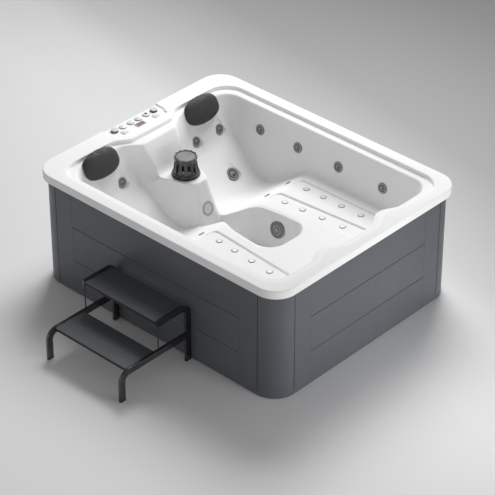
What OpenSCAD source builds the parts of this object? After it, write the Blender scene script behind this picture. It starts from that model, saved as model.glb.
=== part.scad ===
// Two-lounger hot tub with its cabinet, controls, jets, filter, pillows,
// equipment and a free-standing pair of steps. Millimetres. X runs from the
// control (head) end to the foot end, Y across, Z up from the floor.
// The tub is symmetric about y = 0, so most shapes are written for y >= 0.

/* [Overall] */
// Length over the rim
tub_l = 2100; // [1900:10:2300]
// Width over the rim
tub_w = 1720; // [1500:10:1900]
// Height of the rim top above the floor
tub_h = 820; // [700:10:950]

/* [Shell] */
// Thickness of the moulded sheet
sheet = 8; // [5:1:12]
// Depth of the outer lip
lip_h = 55; // [30:1:80]
// Corner radius of the lip
lip_r = 153; // [80:1:250]
// Half width at the top of the riser inside the rim
riser_y = 776; // [700:1:820]
// Half width at the inner edge of the ledge
ledge_y = 722; // [650:1:760]
// Height of the ledge
ledge_z = 793; // [760:1:810]
// Draft of the basin walls, degrees
draft = 11; // [5:1:20]
// How far the head riser bulges in towards the bather
bulge = 70; // [0:1:100]
// Depth of the recess that holds the controls
recess = 12; // [4:1:20]
// Half width of that recess
recess_y = 236; // [150:1:300]
// Radius of the fillet where the walls meet the floor, as a plan offset
foot_fillet = 26; // [10:1:40]

/* [Basin floor] */
// Height of the flat leg area
deck_z = 505; // [450:1:560]
// Lowest height of a seat
seat_z = 312; // [280:1:360]
// Height of the footwell floor
pit_z = 265; // [200:1:300]
// Height of the console that carries the filter
console_z = 600; // [560:1:650]
// X where the footwell ends
pit_x = 385; // [300:1:450]
// Run per unit drop of the footwell walls
pit_run = 0.25; // [0.1:0.01:0.5]
// Width of a leg channel
channel_w = 116; // [60:1:140]
// Depth of a leg channel
channel_d = 11; // [4:1:16]

/* [Jets] */
// Diameter of a small jet face
jet_d = 70; // [50:1:90]
// Diameter of a large jet face
big_jet_d = 95; // [70:1:120]
// X positions of the four jets in each long wall
wall_jets = [-514, -179, 174, 549];
// Height of the wall jets
wall_jet_z = 635; // [550:1:700]
// Radial running clearance of a turning stem
run_gap = 0.05; // [0.02:0.01:0.1]

/* [Controls] */
// Diameter of a knob
knob_d = 49; // [30:1:60]
// X of the back row of controls
back_row_x = -1001; // [-1020:1:-960]
// X of the front row of controls
front_row_x = -944; // [-960:1:-900]
// Travel of a push button
press = 3; // [1:0.5:5]

/* [Cabinet] */
// Distance from the lip face in to the cabinet face
inset = 21; // [10:1:40]
// Corner radius of the cabinet
cab_r = 158; // [100:1:220]
// Thickness of a panel
panel_t = 13; // [8:1:20]
// Heights of the two grooves in each panel
grooves = [248, 504];

/* [Steps] */
// Width between the middles of the two side frames
step_w = 636; // [600:4:700]
// Width of the flat tube, seen from the side
tube_w = 43; // [30:1:50]
// Thickness of the flat tube
tube_t = 17; // [12:1:25]
// Height of the lower tread
tread_lo = 212; // [150:1:260]
// Height of the upper tread
tread_hi = 424; // [350:1:500]

/* [Hidden] */
$fn = 48;
tan_d = tan(draft);
half_l = tub_l / 2;
half_w = tub_w / 2;
lip_z = tub_h - lip_h;
cab_x = half_l - inset;
cab_y = half_w - inset;
seam_x = cab_x - cab_r;
seam_y = cab_y - cab_r;
panel_top = tub_h - 30;
console_nose = -395;
back_x = -765;
back_z = 593;
foot_x = 909;
filter_x = -533;
pillow_y = 466;
eps = 0.02;

// Smooth joins

// smaller of a and b with the corner rounded over a height k
function smin(a, b, k) =
  min(a, b) - pow(max(k - abs(a - b), 0), 2) / (4 * k);
// larger of a and b, rounded the same way
function smax(a, b, k) = -smin(-a, -b, k);
// eased step from 0 to 1
function ease(t) = let (u = max(0, min(1, t))) u * u * (3 - 2 * u);
function mix(a, b, t) = a + (b - a) * t;

// Shape of the basin floor

// lounger profile along X: upper back, lower back, seat, rise and leg area
function lounge(x) =
  let (upper = back_z - (x - back_x) * 2.06,
       lower = 540 - (x + 732) * 0.814,
       back = smax(upper, lower, 45),
       rise = smin(deck_z + (x + 60) * 0.685, deck_z, 40))
  smax(back, smax(seat_z, rise, 70), 80);

// half width of the footwell mouth, and of the seat's inner edge
function mouth(x) = lookup(x, [
  [-720, 182], [-520, 150], [-395, 118], [-300, 90], [-190, 87], [-119, 95],
  [-60, 124], [-18, 146], [43, 161], [110, 170], [179, 177], [300, 181]]);
// half width of the footwell floor, then of the console top
function well(x) =
  x > -340 ? mouth(x) - (lounge(x) - pit_z) * pit_run
           : lookup(x, [[-650, 147], [-431, 84], [-395, 74], [-340, 74]]);

// footwell as a height: flat floor with drafted walls and a round foot end
function pit(x, y) =
  let (end_r = 62,
       end_x = pit_x - (deck_z - pit_z) * pit_run,
       hw = mouth(x) - (lounge(x) - pit_z) * pit_run,
       dx = x - (end_x - end_r),
       dy = abs(y) - (hw - end_r),
       d = dx > 0 && dy > 0 ? norm([dx, dy]) - end_r
                            : max(dx, dy) - end_r)
  smax(pit_z, pit_z + d / pit_run, 70);

// console as a height: flat top, sides and nose sloping down
function console(x, y) =
  let (side = ((x + 647) * 0.284 + (abs(y) - 148) * 0.959) / tan_d,
       nose = (x - console_nose) * 3.07,
       drop = smax(side, nose, 260))
  smin(console_z, console_z - drop, 14);

function floor_z(x, y) =
  let (cut = smin(lounge(x), pit(x, y), 26))
  smax(cut, console(x, y), mix(150, 40, ease((x + 420) / 120)));

// Plan grid of the basin floor
// columns run along X and rows from y = 0 out to the wall; the last three of
// each bend round the basin's corners

in_y = foot_fillet;
corner_r = 60;
col_x = concat(
  [for (i = [0:3]) back_x + in_y + i * corner_r / 3],
  [-650, -590, -540, -485, -431, -397, -365, -335, -300, -250, -190, -130,
   -75, -20, 60, 180, 290, 330, 358, 385, 450, 600],
  [for (i = [0:3]) foot_x - 56 - in_y - (3 - i) * corner_r / 3 * 1.2]);
col_n = len(col_x) - 1;
spread = [0.06, 0.19, 0.36, 0.54, 0.7, 0.83, 0.93, 1];
row_n = len(spread) + 4;

function wall_y(x) = ledge_y - (ledge_z - lounge(x)) * tan_d - in_y;
// rows drawn in round the end of the footwell
function rounded_end(x) = lookup(x, [
  [290, 0], [325, 8], [350, 24], [368, 46], [380, 76], [388, 76], [440, 30],
  [560, 0]]);
function row_y(j, x) =
  let (a = well(x) - rounded_end(x + 45) * 0.7, b = mouth(x) - rounded_end(x))
  j == 0 ? 0 : j == 1 ? a * 0.5 : j == 2 ? a : j == 3 ? (a + b) / 2
  : j == 4 ? b : mix(b, wall_y(x), spread[j - 5]);

// the foot wall swells inwards beside the centre line
function swell(y) =
  16 * (1 - ease((abs(y) - 100) / 130))
  - (abs(abs(y) - 280) < 150 ? 54 * pow(cos(90 * (abs(y) - 280) / 150), 2)
                             : 0);
function head_in(y, y1, y2, amount) =
  amount * (1 - ease((abs(y) - y1) / (y2 - y1)));
function head_edge(y) = back_x + in_y + head_in(y, 142, 205, 113);
function foot_edge(y) = foot_x - 56 - in_y + swell(y);

near_col = 7;
far_col = col_n - 5;
function col_at(i, y) =
  i < near_col
  ? mix(head_edge(y), col_x[near_col],
        (col_x[i] - col_x[0]) / (col_x[near_col] - col_x[0]))
  : i > far_col
  ? mix(col_x[far_col], foot_edge(y),
        (col_x[i] - col_x[far_col]) / (col_x[col_n] - col_x[far_col]))
  : col_x[i];

// shift that turns a square corner of the grid into a round one
function arc_a(p, r) =
  [r * (1 - sin(45 * (1 - p)) - p), -r * (1 - cos(45 * (1 - p)))];
function arc_b(q, r) =
  [r * (1 - cos(45 * (1 - q))), -r * (1 - sin(45 * (1 - q)) - q)];
function pull(p, q, r) =
  p >= 1 || q >= 1
  ? [0, 0]
  : (1 - q) * arc_a(p, r) + (1 - p) * arc_b(q, r)
    - (1 - p) * (1 - q) * arc_a(0, r);

function grid_xy(i, j) =
  let (y0 = row_y(j, col_x[i]),
       x = col_at(i, y0),
       y = row_y(j, x),
       q = (row_n - j) / 3,
       head = i < 3 ? pull(i / 3, q, corner_r) : [0, 0],
       foot = i > col_n - 3 ? pull((col_n - i) / 3, q, corner_r * 1.2)
                            : [0, 0])
  [x + head[0] - foot[0], y + head[1] + foot[1]];
function lift(p) = [p[0], p[1], floor_z(p[0], p[1])];
// drop that leaves the sheet its thickness on sloping ground
function under(p) =
  let (s = (floor_z(p[0] + 5, p[1]) - floor_z(p[0] - 5, p[1])) / 10,
       t = (floor_z(p[0], p[1] + 5) - floor_z(p[0], p[1] - 5)) / 10)
  [p[0], p[1], floor_z(p[0], p[1]) - sheet * sqrt(1 + s * s + t * t)];

// Rim, ledge and walls
// one section for each station round the basin, from the foot end's centre
// round the long side to the head end's centre

loop_n = 2 * row_n + col_n;
arc_0 = row_n - 3;
arc_1 = row_n + col_n - 3;

function station(k) =
  k <= row_n ? grid_xy(col_n, k)
  : k <= row_n + col_n ? grid_xy(col_n - (k - row_n), row_n)
  : grid_xy(0, loop_n - k);

// outline with rounded corners and the foot swell and head bulge
function outline(k, xf, xh, w, r, swell_by, y1, y2, bulge_by) =
  k <= arc_0
  ? let (y = (w - r) * station(k)[1] / station(arc_0)[1])
    [xf + swell_by * swell(y), y]
  : k <= arc_0 + 6
  ? let (a = 15 * (k - arc_0)) [xf - r + r * cos(a), w - r + r * sin(a)]
  : k <= arc_1
  ? let (t = (station(k)[0] - station(arc_0 + 6)[0])
             / (station(arc_1)[0] - station(arc_0 + 6)[0]))
    [mix(xf - r, -xh + r, t), w]
  : k <= arc_1 + 6
  ? let (a = 90 + 15 * (k - arc_1))
    [-xh + r + r * cos(a), w - r + r * sin(a)]
  : let (y = (w - r) * station(k)[1] / station(arc_1 + 6)[1])
    [-xh + head_in(y, y1, y2, bulge_by), y];

function lip_at(k, g) =
  outline(k, half_l - g, half_l - g, half_w - g, lip_r - g, 0, 0, 1, 0);
// the step at the back of the control recess faces the other way
function in_recess(p) = p[0] < -900 && p[1] < recess_y + 10;
function land_at(k, g) =
  let (s = in_recess(lip_at(k, 0)) ? -1 : 1)
  outline(k, 1010 - g, 912 + s * g, 820 - g, 140, 0, 0, 1, 0);
function riser_at(k, g) =
  outline(k, 972 + g, 908 + g, riser_y + g, 150 + g, 0.9, 165, 310, bulge);
function ledge_at(k, g) =
  outline(k, foot_x + g, 862 + g, ledge_y + g, 120 + g, 1, 125, 300,
          bulge + 20);
// wall foot: the edge of the floor grid pushed out by the fillet
function toe_at(k, g) =
  let (a = station(max(k - 1, 0)), b = station(min(k + 1, loop_n)),
       p = station(k),
       raw = [b[1] - a[1], a[0] - b[0]],
       d = raw / norm(raw),
       n = k == 0 ? [1, 0] : k == loop_n ? [-1, 0] : d)
  [p[0] + n[0] * (in_y + g), max(0, p[1] + n[1] * (in_y + g))];

// height of the rim top: lower in the control recess at the head end
function rim_at(p) =
  p[0] < -900 ? mix(tub_h - recess, tub_h,
                    ease((abs(p[1]) - recess_y) / 3)) : tub_h;

function up(p, z) = [p[0], p[1], z];
function toward(a, b, d) = a + (b - a) * min(0.45, d / norm(b - a));
// points round a corner b between a and c, starting d away from it
function soft(a, b, c, d, n) =
  let (s = toward(b, a, d), e = toward(b, c, d))
  [for (i = [0:n]) let (t = i / n)
    s * (1 - t) * (1 - t) + b * 2 * t * (1 - t) + e * t * t];

function section_top(k) =
  let (l0 = lip_at(k, 0), zr = rim_at(l0),
       p0 = up(l0, lip_z), p1 = up(l0, zr),
       q1 = up(land_at(k, 0), zr), q2 = up(land_at(k, 1), tub_h),
       p2 = up(riser_at(k, 0), tub_h), p3 = up(riser_at(k, -4), ledge_z + 2),
       p4 = up(ledge_at(k, 0), ledge_z),
       t = toe_at(k, 0), p5 = up(t, floor_z(t[0], t[1])),
       p6 = lift(station(k)))
  concat([p0], soft(p0, p1, q1, 12, 2), [q1, q2], soft(q2, p2, p3, 5, 1),
         [p3], soft(p3, p4, p5, 13, 2),
         [for (i = [0:2]) let (s = toward(p5, p4, in_y * 1.6), u = i / 2)
           s * (1 - u) * (1 - u) + p5 * 2 * u * (1 - u) + p6 * u * u]);
function section_under(k) =
  let (l0 = lip_at(k, 0), zr = rim_at(l0),
       t = toe_at(k, sheet), u = toe_at(k, 0))
  [up(lip_at(k, sheet), lip_z), up(lip_at(k, sheet), zr - sheet),
   up(land_at(k, 4), zr - sheet), up(land_at(k, 8), tub_h - sheet - 1),
   up(riser_at(k, sheet), tub_h - sheet - 1),
   up(riser_at(k, sheet - 4), ledge_z + 2 - sheet),
   up(ledge_at(k, sheet * 0.9), ledge_z - sheet),
   up(t, floor_z(u[0], u[1]) + sheet * 0.4), under(station(k))];

// Half shell as one closed skin

module half_shell() {
  tops = [for (k = [0:loop_n]) section_top(k)];
  unders = [for (k = [0:loop_n]) section_under(k)];
  tn = len(tops[0]);
  un = len(unders[0]);
  nk = loop_n + 1;
  flat_row = [for (k = [0:loop_n]) each tops[k]];
  under_row = [for (k = [0:loop_n]) each unders[k]];
  inner = [for (i = [1:col_n - 1]) for (j = [0:row_n - 1])
    lift(grid_xy(i, j))];
  inner_under = [for (i = [1:col_n - 1]) for (j = [0:row_n - 1])
    under(grid_xy(i, j))];
  o2 = nk * tn;
  o3 = o2 + nk * un;
  o4 = o3 + len(inner);
  raw = concat(flat_row, under_row, inner, inner_under);
  points = [for (p = raw) abs(p[1]) < 0.01 ? [p[0], 0, p[2]] : p];
  // index of floor grid vertex i, j on the top and under skins
  loop_of = function(i, j)
    i == col_n ? j : j == row_n ? row_n + col_n - i : loop_n - j;
  on_loop = function(i, j) i == 0 || i == col_n || j == row_n;
  at_top = function(i, j) on_loop(i, j) ? loop_of(i, j) * tn + tn - 1
    : o3 + (i - 1) * row_n + j;
  at_under = function(i, j) on_loop(i, j) ? o2 + loop_of(i, j) * un + un - 1
    : o4 + (i - 1) * row_n + j;
  band = [for (k = [0:loop_n - 1]) for (s = [0:tn - 2])
    let (a = k * tn + s, b = a + tn)
    each [[a, a + 1, b + 1], [a, b + 1, b]]];
  band_under = [for (k = [0:loop_n - 1]) for (s = [0:un - 2])
    let (a = o2 + k * un + s, b = a + un)
    each [[a, b + 1, a + 1], [a, b, b + 1]]];
  lip = [for (k = [0:loop_n - 1])
    let (a = k * tn, b = a + tn, c = o2 + k * un, d = c + un)
    each [[a, b, d], [a, d, c]]];
  patch = [for (i = [0:col_n - 1]) for (j = [0:row_n - 1])
    let (a = at_top(i, j), b = at_top(i + 1, j),
         c = at_top(i + 1, j + 1), d = at_top(i, j + 1))
    each [[a, d, c], [a, c, b]]];
  patch_under = [for (i = [0:col_n - 1]) for (j = [0:row_n - 1])
    let (a = at_under(i, j), b = at_under(i + 1, j),
         c = at_under(i + 1, j + 1), d = at_under(i, j + 1))
    each [[a, c, d], [a, b, c]]];
  cut_face = concat(
    [for (s = [0:un - 1]) o2 + s],
    [for (i = [col_n - 1:-1:1]) at_under(i, 0)],
    [for (s = [un - 1:-1:0]) o2 + loop_n * un + s],
    [for (s = [0:tn - 1]) loop_n * tn + s],
    [for (i = [1:col_n - 1]) at_top(i, 0)],
    [for (s = [tn - 1:-1:0]) s]);
  polyhedron(points,
    concat(band, band_under, lip, patch, patch_under, [cut_face]));
}
module mirror_y() {
  children();
  mirror([0, 1, 0]) children();
}

// Places where fittings sit
// each turns local +Z into the surface's outward normal

wall_tilt = 90 - draft;
back_tilt = 64.1;
low_tilt = 39.1;
well_tilt = 76;
nose_tilt = 72;
low_x = -544;
low_z = lounge(low_x);
light_x = -336;
light_z = console_z - (light_x - console_nose) * 3.07;
suction_x = 140;
suction_z = 395;
suction_y = mouth(suction_x) - (deck_z - suction_z) * pit_run;
wall_jet_y = ledge_y - (ledge_z - wall_jet_z) * tan_d;
back_jets = [[-345, 1], [-567, 2], [345, 3], [567, 4]];
pocket = 12;
injector_x = [56, 199, 355, 517];

module at_wall(x) translate([x, wall_jet_y, wall_jet_z])
  rotate([wall_tilt, 0, 0]) children();
module at_near_wall(x) mirror([0, 1, 0]) at_wall(x) children();
module at_back(y) translate([back_x, y, back_z + 1]) rotate([0, back_tilt, 0])
  children();
module at_low(y) translate([low_x, y, low_z]) rotate([0, low_tilt, 0])
  children();
module at_suction() translate([suction_x, suction_y, suction_z])
  rotate([well_tilt, 0, 0]) children();
module at_light() translate([light_x, 0, light_z]) rotate([0, nose_tilt, 0])
  children();
function inner_line(x) = 308 + (x - 56) * 0.078;
function outer_line(x) = 518 + (x - 56) * 0.013;

// teardrop recess behind a backrest jet, g larger all round
module teardrop(d, tail, depth, g) hull() {
  translate([0, 0, -depth - g]) cylinder(d = d + 2 * g, h = 30, $fn = 20);
  translate([-tail, 0, -2 - g]) cylinder(d = 14 + 2 * g, h = 26, $fn = 8);
}
module teardrop_pad(d, tail, depth) hull() {
  translate([0, 0, -depth - sheet]) cylinder(d = d + 16, h = 16, $fn = 13);
  translate([-tail, 0, -2 - sheet]) cylinder(d = 28, h = 6, $fn = 8);
}
// leg channel from the head end round to the foot, g larger all round
module channel(a, b, z, h, g) translate([0, 0, z]) hull() {
  for (s = [-1, 1]) {
    translate([-8, a + s * (channel_w / 2 - 42)])
      cylinder(r = 42 + g, h = h, $fn = 16);
    translate([786, b + s * (channel_w / 2 - 8)])
      cylinder(r = 8 + g, h = h, $fn = 8);
  }
}

// Shell
// vacuum-formed acrylic backed with laminate: rim, ledge, loungers, leg
// channels, footwell and console in one skin

module shell_pads() {
  for (b = back_jets) at_back(b[0]) teardrop_pad(96, 105, pocket);
  for (s = [-1, 1]) at_low(s * 460) teardrop_pad(122, 120, pocket);
  mirror_y() {
    channel(inner_line(-8), inner_line(786), deck_z - channel_d - sheet,
            channel_d + 2, 5);
    channel(outer_line(-8), outer_line(786), deck_z - channel_d - sheet,
            channel_d + 2, 5);
    at_suction() translate([0, 0, -16]) cylinder(d = 132, h = 14, $fn = 16);
  }
  at_light() translate([0, 0, -14]) cylinder(d = 112, h = 12, $fn = 16);
}
module shell_cuts() {
  for (b = back_jets) at_back(b[0]) {
    teardrop(96, 105, pocket, 0);
    translate([0, 0, -40]) cylinder(d = 48, h = 40, $fn = 12);
  }
  for (s = [-1, 1]) at_low(s * 460) {
    teardrop(122, 120, pocket, 0);
    translate([0, 0, -40]) cylinder(d = 64.6, h = 40, $fn = 12);
  }
  for (x = wall_jets) {
    at_wall(x) translate([0, 0, -30]) cylinder(d = 48, h = 40, $fn = 12);
    at_near_wall(x) translate([0, 0, -30]) cylinder(d = 48, h = 40, $fn = 12);
  }
  mirror_y() {
    channel(inner_line(-8), inner_line(786), deck_z - channel_d, 20, 0);
    channel(outer_line(-8), outer_line(786), deck_z - channel_d, 20, 0);
    for (x = injector_x) for (y = [inner_line(x), outer_line(x)])
      translate([x, y, deck_z - 40]) cylinder(d = 14, h = 40, $fn = 6);
    at_suction() {
      translate([0, 0, -6]) cylinder(d = 118, h = 30, $fn = 24);
      translate([0, 0, -40]) cylinder(d = 57.4, h = 60, $fn = 12);
    }
    for (y = [back_row_ys[2], back_row_ys[1], back_row_ys[0]])
      translate([back_row_x, y, tub_h - 60]) cylinder(d = 25.4, h = 80, $fn = 12);
    translate([front_row_x, button_y, tub_h - 60])
      cylinder(d = 37.6, h = 80, $fn = 12);
  }
  translate([display_x - 15, -29, tub_h - 60]) cube([30, 58, 80]);
  for (s = [-1, 1]) translate([0, s * pillow_y, 0]) for (t = [-1, 1])
    pin_at(t) translate([0, 0, -30]) cylinder(d = 10.8, h = 60, $fn = 12);
  mirror_y() for (y = slot_y) at_slot(y) hull() for (t = [-12, 12])
    translate([0, t, -20]) cylinder(d = 9, h = 40, $fn = 8);
  at_light() {
    translate([0, 0, -5]) cylinder(d = 98, h = 20, $fn = 24);
    translate([0, 0, -40]) cylinder(d = 71.6, h = 60, $fn = 12);
  }
  translate([filter_x, 0, console_z - 40]) cylinder(d = 146.6, h = 60, $fn = 24);
}
module shell() color([0.95, 0.95, 0.94]) difference() {
  union() {
    mirror_y() half_shell();
    shell_pads();
  }
  shell_cuts();
}

// Base pan and frame

// rounded slab with half sizes x and y and corner radius r
module slab(x, y, r, h) {
  translate([-x, -y + r, 0]) cube([2 * x, 2 * (y - r), h]);
  translate([-x + r, -y, 0]) cube([2 * (x - r), 2 * y, h]);
  for (a = [-1, 1]) for (b = [-1, 1])
    translate([a * (x - r), b * (y - r), 0]) cylinder(r = r, h = h);
}
pan_x = cab_x - panel_t - 1;
pan_y = cab_y - panel_t - 1;
pan_r = cab_r - panel_t - 1;
pan_floor = 6;
pan_wall = 5;
pan_h = 46;
module base_pan() color([0.2, 0.21, 0.22]) {
  difference() {
    slab(pan_x, pan_y, pan_r, pan_h);
    translate([0, 0, pan_floor])
      slab(pan_x - pan_wall, pan_y - pan_wall, pan_r - pan_wall, pan_h);
  }
}

rail = 28;
rim_under = tub_h - sheet - 2;
frame_x = pan_x - pan_wall - 1;
frame_y = pan_y - pan_wall - 1;
weld = 0.1;
module post(x, y, z0, z1) translate([x - rail / 2, y - rail / 2, z0])
  cube([rail, rail, z1 - z0]);
// ring of straight square tubes with a mitred brace across each corner
module ring_rail(z) translate([0, 0, z]) {
  for (s = [-1, 1]) {
    translate([-seam_x, s * (frame_y - rail / 2) - rail / 2, 0])
      cube([2 * seam_x, rail, rail]);
    translate([s * (frame_x - rail / 2) - rail / 2, -seam_y, 0])
      cube([rail, 2 * seam_y, rail]);
  }
  for (a = [0, 1]) for (b = [0, 1]) mirror([a, 0, 0]) mirror([0, b, 0])
    linear_extrude(rail) polygon([
      [seam_x + weld, frame_y], [frame_x, seam_y + weld],
      [frame_x - rail, seam_y + weld], [seam_x + weld, frame_y - rail]]);
}
// post in two lengths, below and above the upper ring
module split_post(x, y, top) {
  post(x, y, low_ring_z + rail + weld, high_ring_z - weld);
  post(x, y, high_ring_z + rail + weld, top);
}
low_ring_z = pan_floor;
high_ring_z = 710;
module frame() color([0.55, 0.57, 0.59]) {
  ring_rail(low_ring_z);
  ring_rail(high_ring_z);
  for (s = [-1, 1]) {
    for (x = [-830, -300, 300, 830])
      split_post(x, s * (frame_y - rail / 2), rim_under);
    for (y = [-640, 640])
      split_post(s * (frame_x - rail / 2), y, rim_under - recess);
    post(s * (frame_x - rail / 2), 0, low_ring_z + rail + weld, high_ring_z - weld);
  }
  props();
}
// post with a welded plate that carries the floor of the shell
module prop(x, y, top, half) {
  post(x, y, pan_floor, top - plate_t - weld);
  translate([x - half, y - half, top - plate_t])
    cube([2 * half, 2 * half, plate_t]);
}
plate_t = 12;
module props() {
  for (s = [-1, 1]) {
    for (x = [190, 640]) prop(x, s * 430, deck_z - channel_d - sheet - 1, 60);
    prop(-395, s * 430, seat_z - 5, 45);
  }
  translate([60, -70, pan_floor]) cube([200, 140, pit_z - sheet - pan_floor - 2]);
}

// Cabinet

seam_gap = 1;
drain_x = -800;
drain_z = 75;
gland_x = -720;
gland_z = 160;
module groove_set(len, face) {
  for (z = grooves) translate([-len / 2, face - 3, z - 3])
    cube([len, 6, 6]);
  for (s = [-1, 1]) translate([s * len / 2 - 1, face - 0.8, pan_floor + 30])
    cube([2, 2, panel_top - pan_floor - 60]);
}
module panel(half, face, groove_len, top = panel_top) difference() {
  translate([-half + seam_gap, face - panel_t, pan_floor])
    cube([2 * (half - seam_gap), panel_t, top - pan_floor]);
  groove_set(groove_len, face);
}
module panel_near() color([0.25, 0.27, 0.29])
  mirror([0, 1, 0]) panel(seam_x, cab_y, 1446);
module panel_far() color([0.25, 0.27, 0.29]) difference() {
  panel(seam_x, cab_y, 1446);
  translate([drain_x, cab_y, drain_z]) rotate([90, 0, 0])
    cylinder(d = 30, h = 60, center = true);
  translate([gland_x, cab_y, gland_z]) rotate([90, 0, 0])
    cylinder(d = 25, h = 60, center = true);
}
module panel_foot() color([0.25, 0.27, 0.29])
  rotate([0, 0, -90]) panel(seam_y, cab_x, 1076);
screw_ys = [-640, 0, 640];
screw_zs = [60, lip_z - 30];
module panel_head() color([0.25, 0.27, 0.29]) difference() {
  rotate([0, 0, 90]) panel(seam_y, cab_x, 1076, lip_z - 3);
  for (y = screw_ys) for (z = screw_zs) translate([-cab_x, y, z])
    rotate([0, 90, 0]) cylinder(d = 5.4, h = 60, center = true);
}
module panel_screws() color([0.7, 0.7, 0.72])
  for (y = screw_ys) for (z = screw_zs) translate([-cab_x, y, z])
    rotate([0, -90, 0]) {
      rotate_extrude() polygon([[0, 3.2], [0, 0.1], [5.5, 0.1], [5.5, 1.4],
                                [4.6, 2.6], [3, 3.2]]);
      translate([0, 0, -panel_t - 6]) cylinder(d = 5, h = panel_t + 6.2);
    }
module corner_covers() color([0.25, 0.27, 0.29])
  for (a = [-1, 1]) for (b = [-1, 1])
    translate([a * seam_x, b * seam_y, pan_floor])
      mirror([a < 0 ? 1 : 0, 0, 0]) mirror([0, b < 0 ? 1 : 0, 0])
        rotate_extrude(angle = 90)
          translate([cab_r - panel_t, 0]) square([panel_t, panel_top - pan_floor]);

// Controls

back_row_ys = [34, 107, 180];
button_y = 144;
display_x = -942;
deck = tub_h - recess;
stem_r = 6;
module display_panel() color([0.16, 0.17, 0.18]) {
  translate([display_x - 21, -36, deck + 0.2]) difference() {
    cube([42, 72, 5]);
    translate([5, 5, 2]) cube([32, 62, 5]);
  }
  translate([display_x - 14, -28, deck - 24]) cube([28, 56, 24.4]);
}
module display_screen() color([0.05, 0.05, 0.06, 0.9])
  translate([display_x - 15.8, -30.8, deck + 2.4]) cube([31.6, 61.6, 2]);

// valve under the deck: body, clamp flange and pipe stub
module valve() difference() {
  union() {
    translate([0, 0, 0.2]) cylinder(d = 34, h = 2);
    translate([0, 0, -64]) cylinder(d = 24, h = 64.4);
    translate([0, 0, -sheet - 12]) cylinder(d = 36, h = 9);
    translate([0, 0, -50]) rotate([0, 90, 0]) cylinder(d = 16, h = 26);
  }
  translate([0, 0, -30]) cylinder(r = stem_r + run_gap, h = 40);
}
module valve_bodies() color([0.85, 0.85, 0.84])
  mirror_y() for (y = back_row_ys) translate([back_row_x, y, deck]) valve();
module knob_stem() translate([0, 0, -28]) cylinder(r = stem_r, h = 31);
// tall diverter knob with a raised grip bar
module diverter() {
  knob_stem();
  translate([0, 0, 2.5]) rotate_extrude() polygon([[0, 0], [knob_d / 2, 0],
    [knob_d / 2, 13], [knob_d / 2 - 2, 15], [0, 15]]);
  translate([-3, -knob_d / 2 + 4, 17]) cube([6, knob_d - 8, 3.5]);
}
module diverter_near() color([0.8, 0.8, 0.8])
  translate([back_row_x, -180, deck]) diverter();
module diverter_far() color([0.8, 0.8, 0.8])
  translate([back_row_x, 180, deck]) diverter();
// low air control with a centre cap
module air_knob() {
  knob_stem();
  translate([0, 0, 2.5]) rotate_extrude() polygon([[0, 0], [knob_d / 2, 0],
    [knob_d / 2, 3], [knob_d / 2 - 4, 6], [11, 7], [10, 9], [0, 9]]);
  translate([-2, 11, 8]) cube([4, 9, 2]);
}
module air_knob_1() color([0.9, 0.9, 0.9])
  translate([back_row_x, -107, deck]) air_knob();
module air_knob_2() color([0.9, 0.9, 0.9])
  translate([back_row_x, -34, deck]) air_knob();
module air_knob_3() color([0.9, 0.9, 0.9])
  translate([back_row_x, 34, deck]) air_knob();
module air_knob_4() color([0.9, 0.9, 0.9])
  translate([back_row_x, 107, deck]) air_knob();

button_r = 15;
module button_bodies() color([0.85, 0.85, 0.85])
  mirror_y() translate([front_row_x, button_y, deck]) difference() {
    union() {
      translate([0, 0, 0.2]) rotate_extrude() polygon([[0, 0], [25, 0], [25, 1.5],
        [22, 4.5], [0, 4.5]]);
      translate([0, 0, -34]) cylinder(d = 36, h = 34.4);
      translate([0, 0, -sheet - 13]) cylinder(d = 46, h = 9);
    }
    translate([0, 0, -14]) cylinder(r = button_r + 0.08, h = 40);
  }
module button() {
  translate([0, 0, -9]) cylinder(r = button_r, h = 15.4);
  translate([0, 0, 6.4 - eps]) cylinder(r1 = button_r, r2 = button_r - 1.2, h = 1.2);
}
module button_near() color([0.88, 0.88, 0.88])
  translate([front_row_x, -button_y, deck]) button();
module button_far() color([0.88, 0.88, 0.88])
  translate([front_row_x, button_y, deck]) button();

// Filter

filter_top = 738;
canister_bottom = 330;
module filter_housing() color([0.13, 0.13, 0.14])
  translate([filter_x, 0, 0]) difference() {
    union() {
      translate([0, 0, console_z + 0.3]) cylinder(d = 189, h = 8);
      translate([0, 0, console_z + 8]) cylinder(d = 182, h = 6.3);
      translate([0, 0, canister_bottom])
        cylinder(d = 144, h = console_z - canister_bottom + 1);
      translate([0, 0, canister_bottom + 40]) rotate([0, -90, 0])
        cylinder(d = 48, h = 130);
    }
    translate([0, 0, canister_bottom + 5]) cylinder(d = 136, h = 400);
    translate([0, 0, canister_bottom + 40]) rotate([0, -90, 0])
      cylinder(d = 40, h = 200);
  }
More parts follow.
